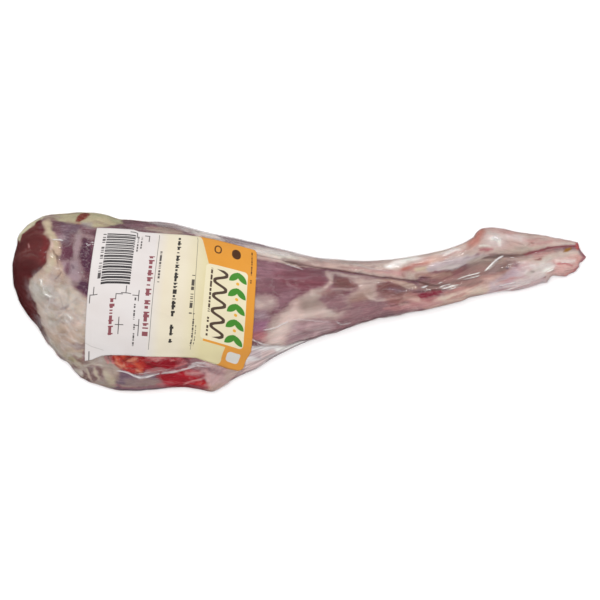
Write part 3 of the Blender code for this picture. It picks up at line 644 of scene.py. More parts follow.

# Dark lines along the meat, painted shade in its grooves, creases and near edge; and folds of the film with
# their height in millimetres, painted bright as highlights with a painted shadow on one side.
DARK_LINES = drawn("""
1: 282,259.6,0.5 290,261,1.6 298,262.6,1.8 308,264.2,1.4 317.5,265.8,1.3 336,268.2,1.1 350,271,1.2 \
    362.4,273.4,1.3 380,276.4,1.1 399.4,279,1.1 416,281,1.3 425,283,1.3 437,284.6,1.2 444,283,1 \
    450,281.2,0.5
0.8: 296,262.8,0.5 303,266,1 309,269,0.5
0.6: 254,244.6,0.6 273,248.4,0.7 293.6,253.8,0.7 312,257.4,0.6
0.6: 254,252.8,0.5 263,255.8,0.8 275,257.6,0.7 286,259.8,0.5
0.5: 374,271,0.4 384,270,0.7 394,270.6,0.4
0.7: 415,277.4,0.5 424,277.6,0.9 433,277.2,0.5
0.5: 439,261.6,0.4 448,259.4,0.6 456,256.6,0.4
0.6: 480,259.8,0.6 488,257.8,1.1 500,256.8,1 512,255.4,1.4 522,254.6,1.3 529,253.2,1.1 537,250.8,0.9 \
    545,248.7,0.9 556,246.4,0.7 567,246.2,0.6 578,246,0.7
0.8: 52,280.6,0.4 57,277.6,0.8 60.6,273.4,0.7 61,270,0.4
1: 411,292.2,0.5 418,291.8,1.1 424,290.8,1.3 436,289.4,1.1 449,289.6,0.6
0.6: 452,281,0.5 466,278.8,0.9 480,275.6,0.5
0.3: 440,279.4,0.4 456,274.4,0.7 472,267.6,0.7 482,261.6,0.5
0.6: 36,321,0.7 41,330.4,1 47,340.6,0.6
0.4: 56,354,0.4 61.6,359.6,0.9 66,363,0.4
0.3: 112,390,0.5 128,391,0.7 146,391.4,0.7 166,388.4,0.5
""", "strength")
UNDER_LINES = drawn("""
0.8: 98,254,0.5 142,269,1 192,279,1.2 252,287,1.1 312,291,0.9 362,287,0.6
0.7: 120,333,0.5 160,334,1 210,331,1.1 262,322,0.9 320,312,0.6
0.7: 440,262,0.5 470,262,1 500,258,1 540,254,0.9 578,250,0.6
""", "strength")
FOLDS = drawn("""
0.9 0.72: 114,370.4,0.6 122,371.4,1.1 128,372.8,1.3 134,376,1.4 140,377.8,1.7 147,377.2,1.5 155,374.8,1.2 \
    161,373.4,0.8
0.8 0.55: 160,373.8,0.8 166,372.8,1.3 174,371.8,1.5 182,370,1.3 190,368,1.5 197,365.8,1 206,366.4,1 \
    214,367.6,0.6
0.5 0.45: 136,374,0.6 148,372.6,1 160,370.4,1 172,369,0.6
0.4 0.5: 196,365.6,0.5 202,363,1 208,362.4,0.5
0.5 0.55: 190,364.6,0.5 197,362.4,0.9 206,364,0.7 216,365.6,0.5
0.5 0.45: 186,367.4,0.5 196,364.6,0.8 204,361.4,0.5
0.5 0.6: 249,337.6,0.7 256,341.6,1.2 264,344.6,1.1 276,345.6,0.6
0.5 0.5: 262,330.4,0.7 268,329.2,1.1 275,328,1 282.4,323.6,0.9 290,320.4,0.7
0.4 0.26: 290,320.2,0.6 300,319.4,1 315,320.8,1 332,322.4,0.7
0.4 0.36: 335,321,0.6 341,324.4,1.1 352,322.8,0.6
0.4 0.4: 284,263.6,0.6 295,266.6,0.9 305,270.2,0.5
0.6 1: 483,271.6,0.6 487,267.8,1 492.6,262.6,1 499,258,1.1 504.6,255.4,0.8
0.3 0.4: 486,271,0.4 490,268,0.6 496,262.6,0.4
0.5 1: 456,278.8,0.4 462,276.6,0.6 468,274.8,0.7 475,273.2,0.7 481,271.8,0.4
0.5 0.9: 461,280,0.3 468,278.4,0.6 475,276.8,0.6 481,275,0.3
0.6 1: 438,288.4,0.4 442,286.2,0.7 447,284.2,0.6 452,283.4,0.3
0.5 1: 441,289.4,0.4 446,288,0.6 450,286.4,0.7 455,285.2,0.6 460,284,0.3
0.4 0.8: 448,289.6,0.3 453,288.4,0.5 458,286.6,0.3
0.5 0.95: 420,287.8,0.6 424,286.8,1.4 429,284.8,0.7
0.4 0.8: 438,283.6,0.4 441,281.4,0.7 444,280.8,0.4
0.5 0.75: 496,292.6,0.4 508,289.4,0.8 521,285.6,0.8 532,282,0.4
0.5 0.75: 498,286.6,0.4 508,283.6,0.8 518,281.6,0.5
0.3 0.85: 545,273,0.5 549,270.8,1.2 555,267.8,0.7
0.3 0.7: 559.6,263.6,0.4 565,262,0.7 571,262.8,0.5
0.4 0.95: 491.6,237.6,0.7 495.6,237.8,1.5 500,240.4,1.2
0.4 0.8: 51,240,0.5 56,239.8,1 60,239.6,1.1 64.6,241,0.6
0.4 0.9: 41,278.6,0.6 41.4,281.4,1.2 41.6,284,0.6
0.4 0.8: 42.6,287.4,0.5 44,289,0.9 43,290.6,0.5
0.4 0.9: 42.4,293.4,0.5 46.4,294.8,1.3 51.4,298,0.6
0.4 0.85: 66,313.6,0.5 69.4,316.4,1 72.6,319.4,0.6
0.4 0.65: 64,319,0.4 67,322,1 69,323.6,0.4
0.4 0.6: 45.6,308,0.4 47.6,309.6,0.9 49,311,0.4
0.4 0.55: 75,328.6,0.4 76.6,330,0.9 78,331,0.4
0.4 0.6: 90,242,0.4 92.4,242.4,0.9 95,242,0.4
0.4 0.5: 80,272,0.3 82,272.6,0.7 84,272.6,0.3
0.5 0.6: 236,373,0.5 262,361.6,1 276,356.6,0.8 292,350,0.8 312,343,0.4
0.5 0.6: 246,346,0.6 262,347.6,1.4 282,347.4,1.4 300,344.4,1.2 313,340.6,0.6
0.5 0.45: 222,387,0.4 240,377.4,0.8 258,368.4,0.8 274,361.4,0.4
0.4 0.35: 340,263.4,0.4 356,264.6,0.7 370,268.4,0.7 392,272,0.4
0.4 0.5: 436,256.6,0.4 452,250.6,0.8 468,244.6,0.5
""", "height strength")

# The film's lap seam runs along the underside.
UNDER_FOLDS = drawn("""
0.5: 30,286,0.6 120,284,1 220,292,1 320,296,1 420,286,1 500,270,1 584,258,0.6
0.4: 34,298,0.5 120,297,0.8 220,304,0.8 320,307,0.8 400,300,0.5
0.4: 180,360,0.6 230,340,1 290,326,0.6
0.4: 150,240,0.6 220,256,1 280,264,0.6
""", "strength")
UNDER_VEILS = drawn("""
film 0.16 0.4 2: 30,292,6 120,290.6,6.4 220,298,6.4 320,301.6,6 420,292,6 500,272,5 584,260,3
film_blush 0.2 0.9 6: 190,350,6 240,330,8 300,322,4
""", "colour haze pleats soft")

# Where the film is drawn into pleats or stands off the meat and looks milky. The veils in the shine colour
# tint it near white for painted highlights.
VEILS = drawn("""
film_blush 0.3 0.9 3: 209,364 240,366 264,364 246,380 222,394 213,392
film 0.88 0.8 2.2: 244,346 270,346.6 296,345 314,340 340,332 342,338 306,352 262,372 244,376
film_grey 0.7 0.6 2: 246,350 262,351.2 262,358.4 246,357
film_blush 0.75 0.6 2: 262,351.2 290,349 276,356 262,358.4
film 0.85 0.4 2: 272,348.6 292,345 293,350.6 277,353.6
shine 0.9 0.3 2: 277,350,1.6 290,346.8,2.2 303,343.4,1.4
film_blush 0.6 0.9 1.6: 248,363 262,359.6 270,358.6 258,366 246,369
film_blush 0.6 0.8 2.6: 240,366 262,362 272,360 256,374 236,384
film_blush 0.25 0.8 1.6: 330,334 380,319 414,310 414,316 332,342
film 0.34 0.9 1.8: 150,216 180,221 224,232 256,243 290,250 330,257 330,262 290,256 256,253 222,240 180,229 \
    150,223
film 0.12 0.7 3: 330,256 400,256 440,246 466,240 466,254 430,266 400,268 330,264
film 0.1 0.3 4: 30,280 50,274 60,300 46,312 34,300
shine 0.4 0.3 1.6: 40,278 42.6,279 43,285 40.6,285
shine 0.4 0.3 1.6: 43,292.6 46,293 51,296.6 49,299 44,296
shine 0.35 0.4 1.8: 66,313 71,315 74,320 70,320
shine 0.03 0.5 4: 430,284 470,270 500,262 500,288 440,302
shine 0.14 0.4 4: 522,262 560,256 578,264 552,286 506,294
film_blush 0.3 0.6 2: 146,371.6,1 156,370.6,2.6 164,369.6,1.6
film 0.1 0.5 3: 84,362 104,352 120,372 100,386 80,376
""", "colour haze pleats soft")

# The label's corners on the leg, and how far it lies from them with the finished leg.
LABEL_TOP_LEFT = Vector((-128.0, 46.9)) * MM
LABEL_TOP_RIGHT = Vector((-27.2, 33.5)) * MM
LABEL_LOW_RIGHT = Vector((-34.3, -44.0)) * MM
LABEL_LOW_LEFT = Vector((-136.3, -37.4)) * MM
LABEL_SHIFT = Vector((-0.287, 0.574)) * MM
# How far its near edge draws in where it bends down the leg's side, and how far its far edge and
# its side to the hock bow out, by the share along them.
LABEL_DRAW_IN = ((0, 0), (0.04, 0.8), (0.08, 2.7), (0.11, 4.1), (0.17, 4.9), (0.28, 5.5), (0.40, 5.5),
                 (0.62, 6.5), (0.72, 6.7), (0.79, 4.9), (0.86, 3.0), (0.93, 0.9), (1, 0))
LABEL_BOW = ((0, 0), (0.10, 1.1), (0.20, 1.9), (0.24, 2.0), (0.27, 1.3), (0.32, 1.4), (0.45, 2.3),
             (0.57, 3.2), (0.67, 3.5), (0.76, 3.0), (0.88, 1.6), (1, 0))
LABEL_SWELL = ((0, 0.3), (0.14, 1.4), (0.31, 1.9), (0.57, 2.6), (0.77, 2.8), (0.84, 2.6), (0.87, 1.6),
               (0.90, 0.2), (0.94, -0.9), (1, -1.5))
LABEL_LEFT_BULGE = 1.2 * MM
LABEL_CORNER = 3.2 * MM
# The printed sheet in millimetres, the faces of its mesh, and its thickness and gap to the film.
LABEL_WIDE = 102.0
LABEL_TALL = 82.0
LABEL_COLUMNS = 150
LABEL_ROWS = 122
PAPER_THICK = 0.16 * MM
PAPER_GAP = 0.25 * MM
# It is laid on the film from this far up, and then takes its neighbours' average this often.
ABOVE_LEG = 0.2
PAPER_SMOOTHING = 40
# A crease crosses the near left corner: how far down it starts and its slope, how much the paper
# rises past it for each millimetre, and for how many.
CREASE_DOWN = 70.7
CREASE_SLOPE = 0.66
CREASE_RISE = 0.10
CREASE_REACH = 12.0
# A low fold right of the middle: how far down its line starts, its slope, half width and height.
FOLD_DOWN = 34.468
FOLD_SLOPE = 0.38
FOLD_HALF = 1.1
FOLD_HEIGHT = 0.16
# How much wider than drawn a thin printed line is on each side.
RULE_GAIN = 0.13

# The studio: its backdrop's light, its glowing floor, and the floor's half width and gap to the leg.
BACKDROP_LIGHT = 0.66
FLOOR_GLOW = 0.3
FLOOR_HALF = 3.0
FLOOR_GAP = 0.2 * MM
# The lamps: place, width and length, power, and whether they show in reflections.
LAMPS = {
    "overhead_softbox": ((-0.10, 0.25, 1.70), (0.70, 0.70), 12.0, False),
    "far_strip": ((0.14, 0.85, 1.15), (0.77, 0.07), 1.8, True),
    "left_strip": ((-0.85, 0.25, 1.10), (0.06, 0.50), 1.2, True),
    "near_strip": ((0.25, -0.70, 1.30), (0.70, 0.10), 1.2, False),
}


def smooth_step(value, low, high):
    share = np.clip((value - low) / (high - low), 0.0, 1.0)
    return share * share * (3.0 - 2.0 * share)


def linear(name):
    """A named colour's three linear shares of light."""
    shares = np.array(COLOURS[name], float) / 255.0
    return np.where(shares <= 0.04045, shares / 12.92, ((shares + 0.055) / 1.055) ** 2.4)


def under_film(name):
    """What the meat reflects where it looks like a named colour through the film."""
    return np.clip((linear(name) - FILM_WHITE) / STUDIO_LIGHT, 0.004, 0.92)


def ripple(places, size, seed):
    """Smooth noise from -1 to 1 at each place, with features of about size."""
    return np.array([noise.noise(Vector(place)) for place in places / size + seed * 17.31])


def plan_places(places):
    """Where points of the leg lie on its plan."""
    spread = EYE_ABOVE / (EYE_Z - places[:, 2]) / UNIT
    x, y = ((places[:, axis] - PLAN_CENTRE[axis]) * spread for axis in (0, 1))
    return np.stack([PLAN_SIZE / 2 + x, PLAN_SIZE / 2 - y], axis=1)


def flow_places(places):
    """The points as if the leg had one thickness all along, so that streaks run with its form."""
    x, y, z = places.T
    steps = ((x - x.min()) / FLOW_STEP).astype(int)
    low, high = np.full((2, steps.max() + 1), np.inf)
    np.minimum.at(low, steps, y)
    np.minimum.at(high, steps, -y)
    tall = np.zeros(len(low))
    np.maximum.at(tall, steps, z)
    middles = (np.arange(len(low)) + 0.5) * FLOW_STEP + x.min()
    centre = np.interp(x, middles, (low - high) / 2)
    half = np.maximum(np.interp(x, middles, (-high - low) / 2), FLOW_LEAST)
    mid = np.interp(x, middles, tall / 2)
    rise = (z - mid) / np.maximum(mid, FLOW_LEAST / 2)
    across = (y - centre) / half
    reach = np.maximum(np.hypot(across, rise), 0.2)
    return np.stack([x, FLOW_RADIUS * across / reach, FLOW_RADIUS * rise / reach], axis=1)


def nearest(spots, start, end):
    """How far spots lie from a straight run and to its side, and where along it they are."""
    run = end[:2] - start[:2]
    share = np.clip((spots - start[:2]) @ run / (run @ run), 0.0, 1.0)
    offset = spots - start[:2] - share[:, None] * run
    side = np.sign(run[0] * offset[:, 1] - run[1] * offset[:, 0])
    return np.linalg.norm(offset, axis=1), side, share


def route_gap(spots, route):
    """How far each spot lies outside a route with its half widths, less than 0 inside it."""
    gap = np.full(len(spots), np.inf)
    for start, end in zip(route[:-1], route[1:]):
        away, _, share = nearest(spots, start, end)
        gap = np.minimum(gap, away - start[2] - share * (end[2] - start[2]))
    return gap


def outline_gap(spots, ring):
    """How far each spot lies outside a closed outline, less than 0 inside it."""
    gap = np.full(len(spots), np.inf)
    inside = np.zeros(len(spots), bool)
    for start, end in zip(ring, np.roll(ring, -1, axis=0)):
        gap = np.minimum(gap, nearest(spots, start, end)[0])
        if start[1] != end[1]:
            crosses = (start[1] > spots[:, 1]) != (end[1] > spots[:, 1])
            at_x = start[0] + (spots[:, 1] - start[1]) * (end[0] - start[0]) / (end[1] - start[1])
            inside ^= crosses & (spots[:, 0] < at_x)
    return np.where(inside, -gap, gap)


def cover(spots, points, soft, beyond=0.0):
    """How much of a mark each spot takes, from 0 to 1. Beyond widens the mark."""
    closed = points.shape[1] == 2
    margin = soft + beyond + (0.0 if closed else points[:, 2].max())
    near = np.all((spots > points[:, :2].min(axis=0) - margin)
                  & (spots < points[:, :2].max(axis=0) + margin), axis=1)
    gap = (outline_gap if closed else route_gap)(spots[near], points)
    share = np.zeros(len(spots))
    share[near] = 1.0 - smooth_step(gap - beyond, -soft, soft)
    return share


def line_field(spots, lines):
    """For each spot, how many half widths it lies to a side of the nearest line, and how much
    of the line shows there. It fades out at the line's ends."""
    best = np.full(len(spots), np.inf)
    gap = np.full(len(spots), LINE_REACH)
    share = np.zeros(len(spots))
    for line in lines:
        points = line.points
        lengths = np.linalg.norm(np.diff(points[:, :2], axis=0), axis=1)
        fade = min(3.0, lengths.sum() / 3.0)
        walked = 0.0
        for start, end, length in zip(points[:-1], points[1:], lengths):
            away, side, part = nearest(spots, start, end)
            along = walked + part * length
            closer = away < best
            half = start[2] + part * (end[2] - start[2])
            show = line.strength * smooth_step(np.minimum(along, lengths.sum() - along), 0.0, fade)
            best = np.where(closer, away, best)
            gap = np.where(closer, side * away / half, gap)
            share = np.where(closer, show, share)
            walked += length
    share = share * (1.0 - smooth_step(best, 1.8, 3.2))
    return np.clip(gap, -LINE_REACH, LINE_REACH), share


def both_sides(spots, up, upper_lines, under_lines):
    """The line fields of the upper side and the underside in one."""
    gap, share = np.where(up > 0.5, line_field(spots, upper_lines), line_field(spots, under_lines))
    return {"line_gap": gap, "line_share": share * abs(2.0 * up - 1.0)}


class Skin:
    """A mesh as arrays of places, with averages over each place's neighbours."""

    def __init__(self, mesh):
        self.mesh = mesh
        self.places = self.read(mesh.vertices, "co", 3, float)
        pairs = self.read(mesh.edges, "vertices", 2, int)
        self.one = np.concatenate([pairs[:, 0], pairs[:, 1]])
        self.other = np.concatenate([pairs[:, 1], pairs[:, 0]])
        self.degree = np.bincount(self.one, minlength=len(self.places))

    @staticmethod
    def read(items, key, width, kind):
        values = np.empty(len(items) * width, kind)
        items.foreach_get(key, values)
        return values.reshape(-1, width)

    def averaged(self, values, passes):
        values = values.reshape(len(self.places), -1)
        for _ in range(passes):
            sums = [np.bincount(self.one, column[self.other], minlength=len(values))
                    for column in values.T]
            values = 0.5 * values + 0.5 * np.stack(sums, axis=1) / self.degree[:, None]
        return values

    def move(self, places):
        self.places = places
        self.mesh.vertices.foreach_set("co", places.ravel())
        self.mesh.update()

    def normals(self):
        return self.read(self.mesh.vertex_normals, "vector", 3, float)

    def swell(self, height):
        """Moves each place out of the skin by a height in millimetres."""
        self.move(self.places + self.normals() * height[:, None] * MM)

    def store(self, kind, key, layers):
        for name, values in layers.items():
            layer = self.mesh.attributes.new(name, kind, "POINT")
            layer.data.foreach_set(key, values.ravel())

    def set_numbers(self, **layers):
        self.store("FLOAT", "value", layers)

    def set_vectors(self, **layers):
        self.store("FLOAT_VECTOR", "vector", layers)

    def set_colours(self, **layers):
        whole = np.ones(len(self.places))
        self.store("FLOAT_COLOR", "color",
                   {name: np.column_stack([values, whole]) for name, values in layers.items()})


def split_upper_side(mesh):
    """Splits each face of the upper side into four, apart from those that the label hides."""
    shape = bmesh.new()
    shape.from_mesh(mesh)
    shape.normal_update()
    label = np.array((LABEL_TOP_LEFT, LABEL_TOP_RIGHT, LABEL_LOW_RIGHT, LABEL_LOW_LEFT))
    centres = np.array([face.calc_center_median() for face in shape.faces])
    hidden = outline_gap(centres[:, :2], label) < -HIDDEN_DEPTH
    seen = np.array([face.normal.z for face in shape.faces]) > SEEN_SLOPE
    edges = {edge for face, fine in zip(shape.faces, seen & ~hidden) if fine for edge in face.edges}
    bmesh.ops.subdivide_edges(shape, edges=list(edges), cuts=1, use_grid_fill=True)
    shape.to_mesh(mesh)
    shape.free()


def fine_leg():
    """The CAD solid of the wrapped leg as a fine, smoothed mesh with its ragged outline."""
    source = bpy.data.objects.new("leg_source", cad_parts["wrapped_leg"].data.copy())
    bpy.context.scene.collection.objects.link(source)
    remesh = source.modifiers.new("even", "REMESH")
    remesh.mode = "VOXEL"
    remesh.voxel_size = VOXEL
    graph = bpy.context.evaluated_depsgraph_get()
    mesh = bpy.data.meshes.new_from_object(source.evaluated_get(graph))
    bpy.data.objects.remove(source)
    skin = Skin(mesh)
    skin.move(skin.averaged(skin.places, FACET_SMOOTHING))
    split_upper_side(mesh)
    skin = Skin(mesh)
    skin.move(skin.averaged(skin.places, FINE_SMOOTHING))
    spots = plan_places(skin.places)
    skin.swell(sum(bump.height * np.exp(-((spots - bump.points[0]) ** 2).sum(axis=1) / bump.radius**2)
                   for bump in OUTLINE_BUMPS))
    return skin


def star_folds(spots):
    """Folds that run out from the star's middle, from -1 to 1."""
    way = spots - STAR
    bend = np.column_stack([way * 0.06, np.zeros(len(way))])
    way = way + 4.0 * np.column_stack([ripple(bend, 1.0, 32), ripple(bend, 1.0, 33)])
    reach = np.linalg.norm(way, axis=1)
    ring = way / np.maximum(reach, 0.5)[:, None] * 2.4
    rays = np.column_stack([ring, reach * 0.09])
    fade = smooth_step(reach, 1.5, 8.0) * (1.0 - smooth_step(reach, 16.0, 52.0))
    return ripple(rays, 1.0, 31) * fade * 1.8 * cover(spots, SILVERSKIN, 4.0)


def meat_relief(places, flow, spots, up):
    """How far each point of the meat stands above its smooth form, in millimetres."""
    height = sum(ridge.height * cover(spots, ridge.points, ridge.soft) for ridge in RIDGES)
    height += sum(LUMP_HEIGHT * cover(spots, lump.points, lump.soft) for lump in FLESH_LUMPS)
    height += 0.4 * star_folds(spots)
    rough_end = smooth_step(spots[:, 0], 490.0, 520.0)
    return (height * up + 0.36 * ripple(places, 9 * MM, 1)
            + 0.35 * rough_end * ripple(places, 4 * MM, 14)
            + 0.22 * ripple(flow * (0.35, 1, 1), 3.2 * MM, 2))


class Paint:
    """The colours of muscle and of pale tissue at each place, and the share of pale tissue."""

    def __init__(self, count):
        self.muscle = np.tile(under_film("mauve"), (count, 1))
        self.pale = np.tile(under_film("cream"), (count, 1))
        self.share = np.zeros(count)

    def tint(self, colour, amount):
        for layer in (self.muscle, self.pale):
            layer += (under_film(colour) - layer) * amount[:, None]

    def lay(self, colour, amount, around):
        """Tissue of a named colour, with the amount at each place and in the places around it."""
        if COLOURS[colour][1] >= LEAST_PALE_GREEN:
            self.pale += (under_film(colour) - self.pale) * around[:, None]
            self.share += (1.0 - self.share) * amount
        else:
            self.muscle += (under_film(colour) - self.muscle) * around[:, None]
            self.share *= 1.0 - amount

    def draw(self, marks, spots):
        """Lays marks of full strength as tissue of their own, and tints with the others."""
        for mark in marks:
            amount = mark.strength * cover(spots, mark.points, mark.soft)
            if mark.strength < 1:
                self.tint(mark.colour, amount)
            else:
                self.lay(mark.colour, amount, cover(spots, mark.points, mark.soft, TISSUE_SPREAD))

    def blend(self, other, amount):
        """Takes over another paint by an amount at each place."""
        self.muscle += (other.muscle - self.muscle) * amount[:, None]
        self.pale += (other.pale - self.pale) * amount[:, None]
        self.share += (other.share - self.share) * amount

    def shade(self, factor):
        self.muscle = np.clip(self.muscle * factor, 0.003, 0.95)
        self.pale = np.clip(self.pale * factor, 0.003, 0.95)


def drifted(spots, places, flow, normals):
    """The spots, moved along the leg in streaks where its sides are steep, so that no mark's edge
    runs straight down them."""
    steep = (1.0 - smooth_step(normals[:, 2], 0.0, 0.4)) * smooth_step(spots[:, 0], 36.0, 80.0)
    along = 9.0 * ripple(flow * (0.2, 1, 1), 8 * MM, 41) + 5.0 * ripple(flow * (0.3, 1, 1), 3 * MM, 42)
    return spots + steep[:, None] * np.column_stack([along, 5.0 * ripple(places, 12 * MM, 43)])


def upper_paint(spots, flow, places):
    """What the upper side shows, by the marks on the plan."""
    waves = [ripple(places, 6.5 * MM, seed) + 0.6 * ripple(places, 2.2 * MM, seed + 1)
             for seed in (3, 5)]
    paint = Paint(len(spots))
    paint.draw((*TOP_PAINT, *FLESH_LUMPS), spots + np.stack(waves, axis=1) * 1.5)
    patches = 0.5 + 0.5 * ripple(flow * (0.5, 1, 1), 3.4 * MM, 15)
    paint.share *= 1.0 - MOTTLE * smooth_step(patches, 0.45, 0.8)
    return paint


def under_paint(spots, flow, places):
    """What the underside shows: muscles between their seams, under sheets of membrane."""
    x = places[:, 0] / MM
    broad = ripple(places, 30 * MM, 10) + 0.45 * ripple(places, 11 * MM, 11)
    streaks = ripple(flow * (0.22, 1, 1), 5 * MM, 12)
    sway = np.column_stack([6.0 * ripple(flow * (0.3, 1, 1), 7 * MM, 44), 5.0 * broad])
    paint = Paint(len(places))
    paint.draw(UNDER_PAINT, spots + sway)

    def lay(colour, amount):
        paint.lay(colour, amount, np.minimum(amount * 1.5, 1.0))

    paint.tint("mauve_deep", smooth_step(-broad, 0.0, 0.5) * 0.35)
    paint.tint("silver_warm", smooth_step(broad + 0.5 * streaks, 0.1, 0.8) * 0.4)
    paint.tint("membrane_mauve", smooth_step(streaks, 0.0, 0.5) * 0.3)
    lay("seam", smooth_step(-x - 5 * broad, 154, 157))
    lay("cut_red", smooth_step(-x - 5 * broad, 161, 163.5))
    paint.tint("cut_dark", smooth_step(-x + 9 * streaks, 168, 180) * 0.6)
    lay("seam", smooth_step(streaks, 0.32, 0.42) * smooth_step(-x, 162, 168) * 0.5)
    return paint


def leg_paint(places, flow, spots, up, top):
    """What the meat shows at each point, and where its cut face is. The top is where the marks of
    the upper side are."""
    paint = under_paint(spots, flow, places)
    paint.blend(upper_paint(spots, flow, places), top)
    cut = cover(spots, CUT_FACE, 1.5) * up
    cut = np.maximum(cut, smooth_step(-places[:, 0] / MM, 160.0, 164.0))
    patchy = 0.08 * ripple(places, 5 * MM, 7) + 0.08 * ripple(flow * (0.25, 1, 1), 1.9 * MM, 8)
    warm = 0.05 * ripple(places, 10 * MM, 9)[:, None] * np.array((1.0, -0.6, -0.2))
    calm = (1.0 - 0.5 * cut)[:, None]
    # The membrane is painted lighter and darker across the folds round the star: painted light and shade.
    star = 1.0 + 0.18 * star_folds(spots) * up
    paint.shade((1.0 + calm * (patchy[:, None] + warm)) * star[:, None])
    return paint, cut


class Shading:
    """A material's nodes, with short ways to add and join them."""

    def __init__(self, name):
        self.material = bpy.data.materials.new(name)
        self.material.use_nodes = True
        self.nodes = self.material.node_tree.nodes
        self.links = self.material.node_tree.links
        self.nodes.clear()
        self.end = self.nodes.new("ShaderNodeOutputMaterial")

    def join(self, node, values):
        for key, value in values.items():
            if isinstance(value, bpy.types.NodeSocket):
                self.links.new(value, node.inputs[key])
            else:
                node.inputs[key].default_value = value
        return node

    def add(self, kind, values=None, **settings):
        node = self.nodes.new("ShaderNode" + kind)
        for key, value in settings.items():
            setattr(node, key, value)
        return self.join(node, values or {})

    def math(self, operation, *values):
        return self.add("Math", dict(enumerate(values)), operation=operation).outputs[0]

    def chain(self, operation, values):
        return reduce(lambda total, value: self.math(operation, total, value), values)

    def plus(self, *values):
        return self.chain("ADD", values)

    def minus(self, *values):
        return self.chain("SUBTRACT", values)

    def times(self, *values):
        return self.chain("MULTIPLY", values)

    def most(self, *values):
        return self.chain("MAXIMUM", values)

    def size(self, value):
        return self.math("ABSOLUTE", value)

    def attribute(self, name, output="Fac"):
        return self.add("Attribute", attribute_name=name).outputs[output]

    def own_place(self):
        return self.add("TexCoord").outputs["Object"]

    def noise(self, where, scale, size, detail=2.0, rough=0.5):
        """Noise in features a metre, drawn out along an axis where its scale is below one."""
        place = self.add("Mapping", {"Vector": where, "Scale": scale}).outputs[0]
        values = {"Vector": place, "Scale": size, "Detail": detail, "Roughness": rough}
        return self.add("TexNoise", values).outputs["Fac"]

    def ramp(self, value, low, high, first=0.0, last=1.0):
        values = {"Value": value, "From Min": low, "From Max": high, "To Min": first, "To Max": last}
        return self.add("MapRange", values).outputs["Result"]

    def mix(self, factor, first, last, blend="MIX"):
        node = self.add("Mix", data_type="RGBA", blend_type=blend)
        return self.join(node, {0: factor, 6: first, 7: last}).outputs[2]

    def bump(self, height, strength, distance):
        values = {"Height": height, "Strength": strength, "Distance": distance}
        return self.add("Bump", values).outputs["Normal"]

    def line(self, shift=0.0):
        """The mask of the mesh's lines: 1 along their middles, or some half widths beside them."""
        gap = self.size(self.minus(self.attribute("line_gap"), shift))
        return self.times(self.ramp(gap, 0.1, 1.25, 1.0, 0.0), self.attribute("line_share"))

    def finish(self, kind, values):
        """Ends the material in a shader."""
        self.links.new(self.add(kind, values).outputs[0], self.end.inputs["Surface"])
        return self.material


def grey(value):
    return (value, value, value, 1.0)


def ink(name):
    """What the paper reflects where it looks like a named colour."""
    return (*(linear(name) / STUDIO_LIGHT), 1.0)


def meat_material():
    s = Shading("raw_meat")
    cut = s.attribute("cut")
    flow = s.attribute("flow", "Vector")
    own = s.own_place()
    fibres = s.noise(flow, (0.12, 1.0, 1.0), 800.0, 3.0, 0.6)
    strands = s.noise(flow, (0.09, 1.0, 1.0), 270.0, 3.0, 0.6)
    blotches = s.noise(own, (0.8, 1.0, 1.0), 260.0, 3.0, 0.6)
    grains = s.noise(own, (0.7, 1.0, 1.0), 620.0, 3.0, 0.65)
    threads = s.size(s.minus(s.noise(flow, (0.4, 1.0, 1.0), 150.0, 4.0, 0.65), 0.5))
    thread = s.times(s.ramp(threads, 0.0, 0.02, 1.0, 0.0), s.ramp(cut, 0.0, 1.0, 1.0, 0.1))

    # The edge between muscle and pale tissue is torn by both noises.
    torn = s.plus(s.ramp(grains, 0.3, 0.7, -0.10, 0.10), s.ramp(strands, 0.3, 0.7, -0.14, 0.14))
    pale_here = s.ramp(s.plus(s.attribute("pale_share"), torn), 0.06, 0.94)

    lit = s.times(s.ramp(fibres, 0.3, 0.7, 0.80, 1.20), s.ramp(strands, 0.3, 0.7, 0.88, 1.12))
    muscle = s.mix(1.0, s.attribute("muscle", "Color"), lit, "MULTIPLY")
    muscle = s.mix(s.ramp(blotches, 0.52, 0.72, 0.0, 0.5), muscle, (0.82, 0.70, 0.74, 1.0), "MULTIPLY")
    muscle = s.mix(s.times(thread, 0.14), muscle, ink("thread"), "SCREEN")
    lit = s.times(s.ramp(fibres, 0.3, 0.7, 0.92, 1.08), s.ramp(blotches, 0.3, 0.7, 0.94, 1.06))
    pale = s.mix(1.0, s.attribute("pale", "Color"), lit, "MULTIPLY")
    pale = s.mix(s.times(thread, 0.22), pale, (0.80, 0.66, 0.68, 1.0), "MULTIPLY")
    colour = s.mix(pale_here, muscle, pale)
    # Darker along the mesh's lines: on the upper side, painted shade in the grooves and creases and along
    # the near edge.
    colour = s.mix(s.times(s.line(), 0.85), colour, (0.34, 0.24, 0.26, 1.0), "MULTIPLY")
    height = s.plus(s.times(fibres, 0.7), s.times(blotches, 0.6), s.times(pale_here, 0.25))
    return s.finish("BsdfPrincipled", {
        "Base Color": colour,
        "Roughness": s.ramp(blotches, 0.3, 0.7, 0.36, 0.56),
        "Normal": s.bump(height, 0.5, 0.6 * MM),
        "Subsurface Weight": 0.12,
        "Subsurface Radius": (1.0, 0.36, 0.26),
        "Subsurface Scale": 1.6 * MM,
        "Specular IOR Level": 0.12,
    })


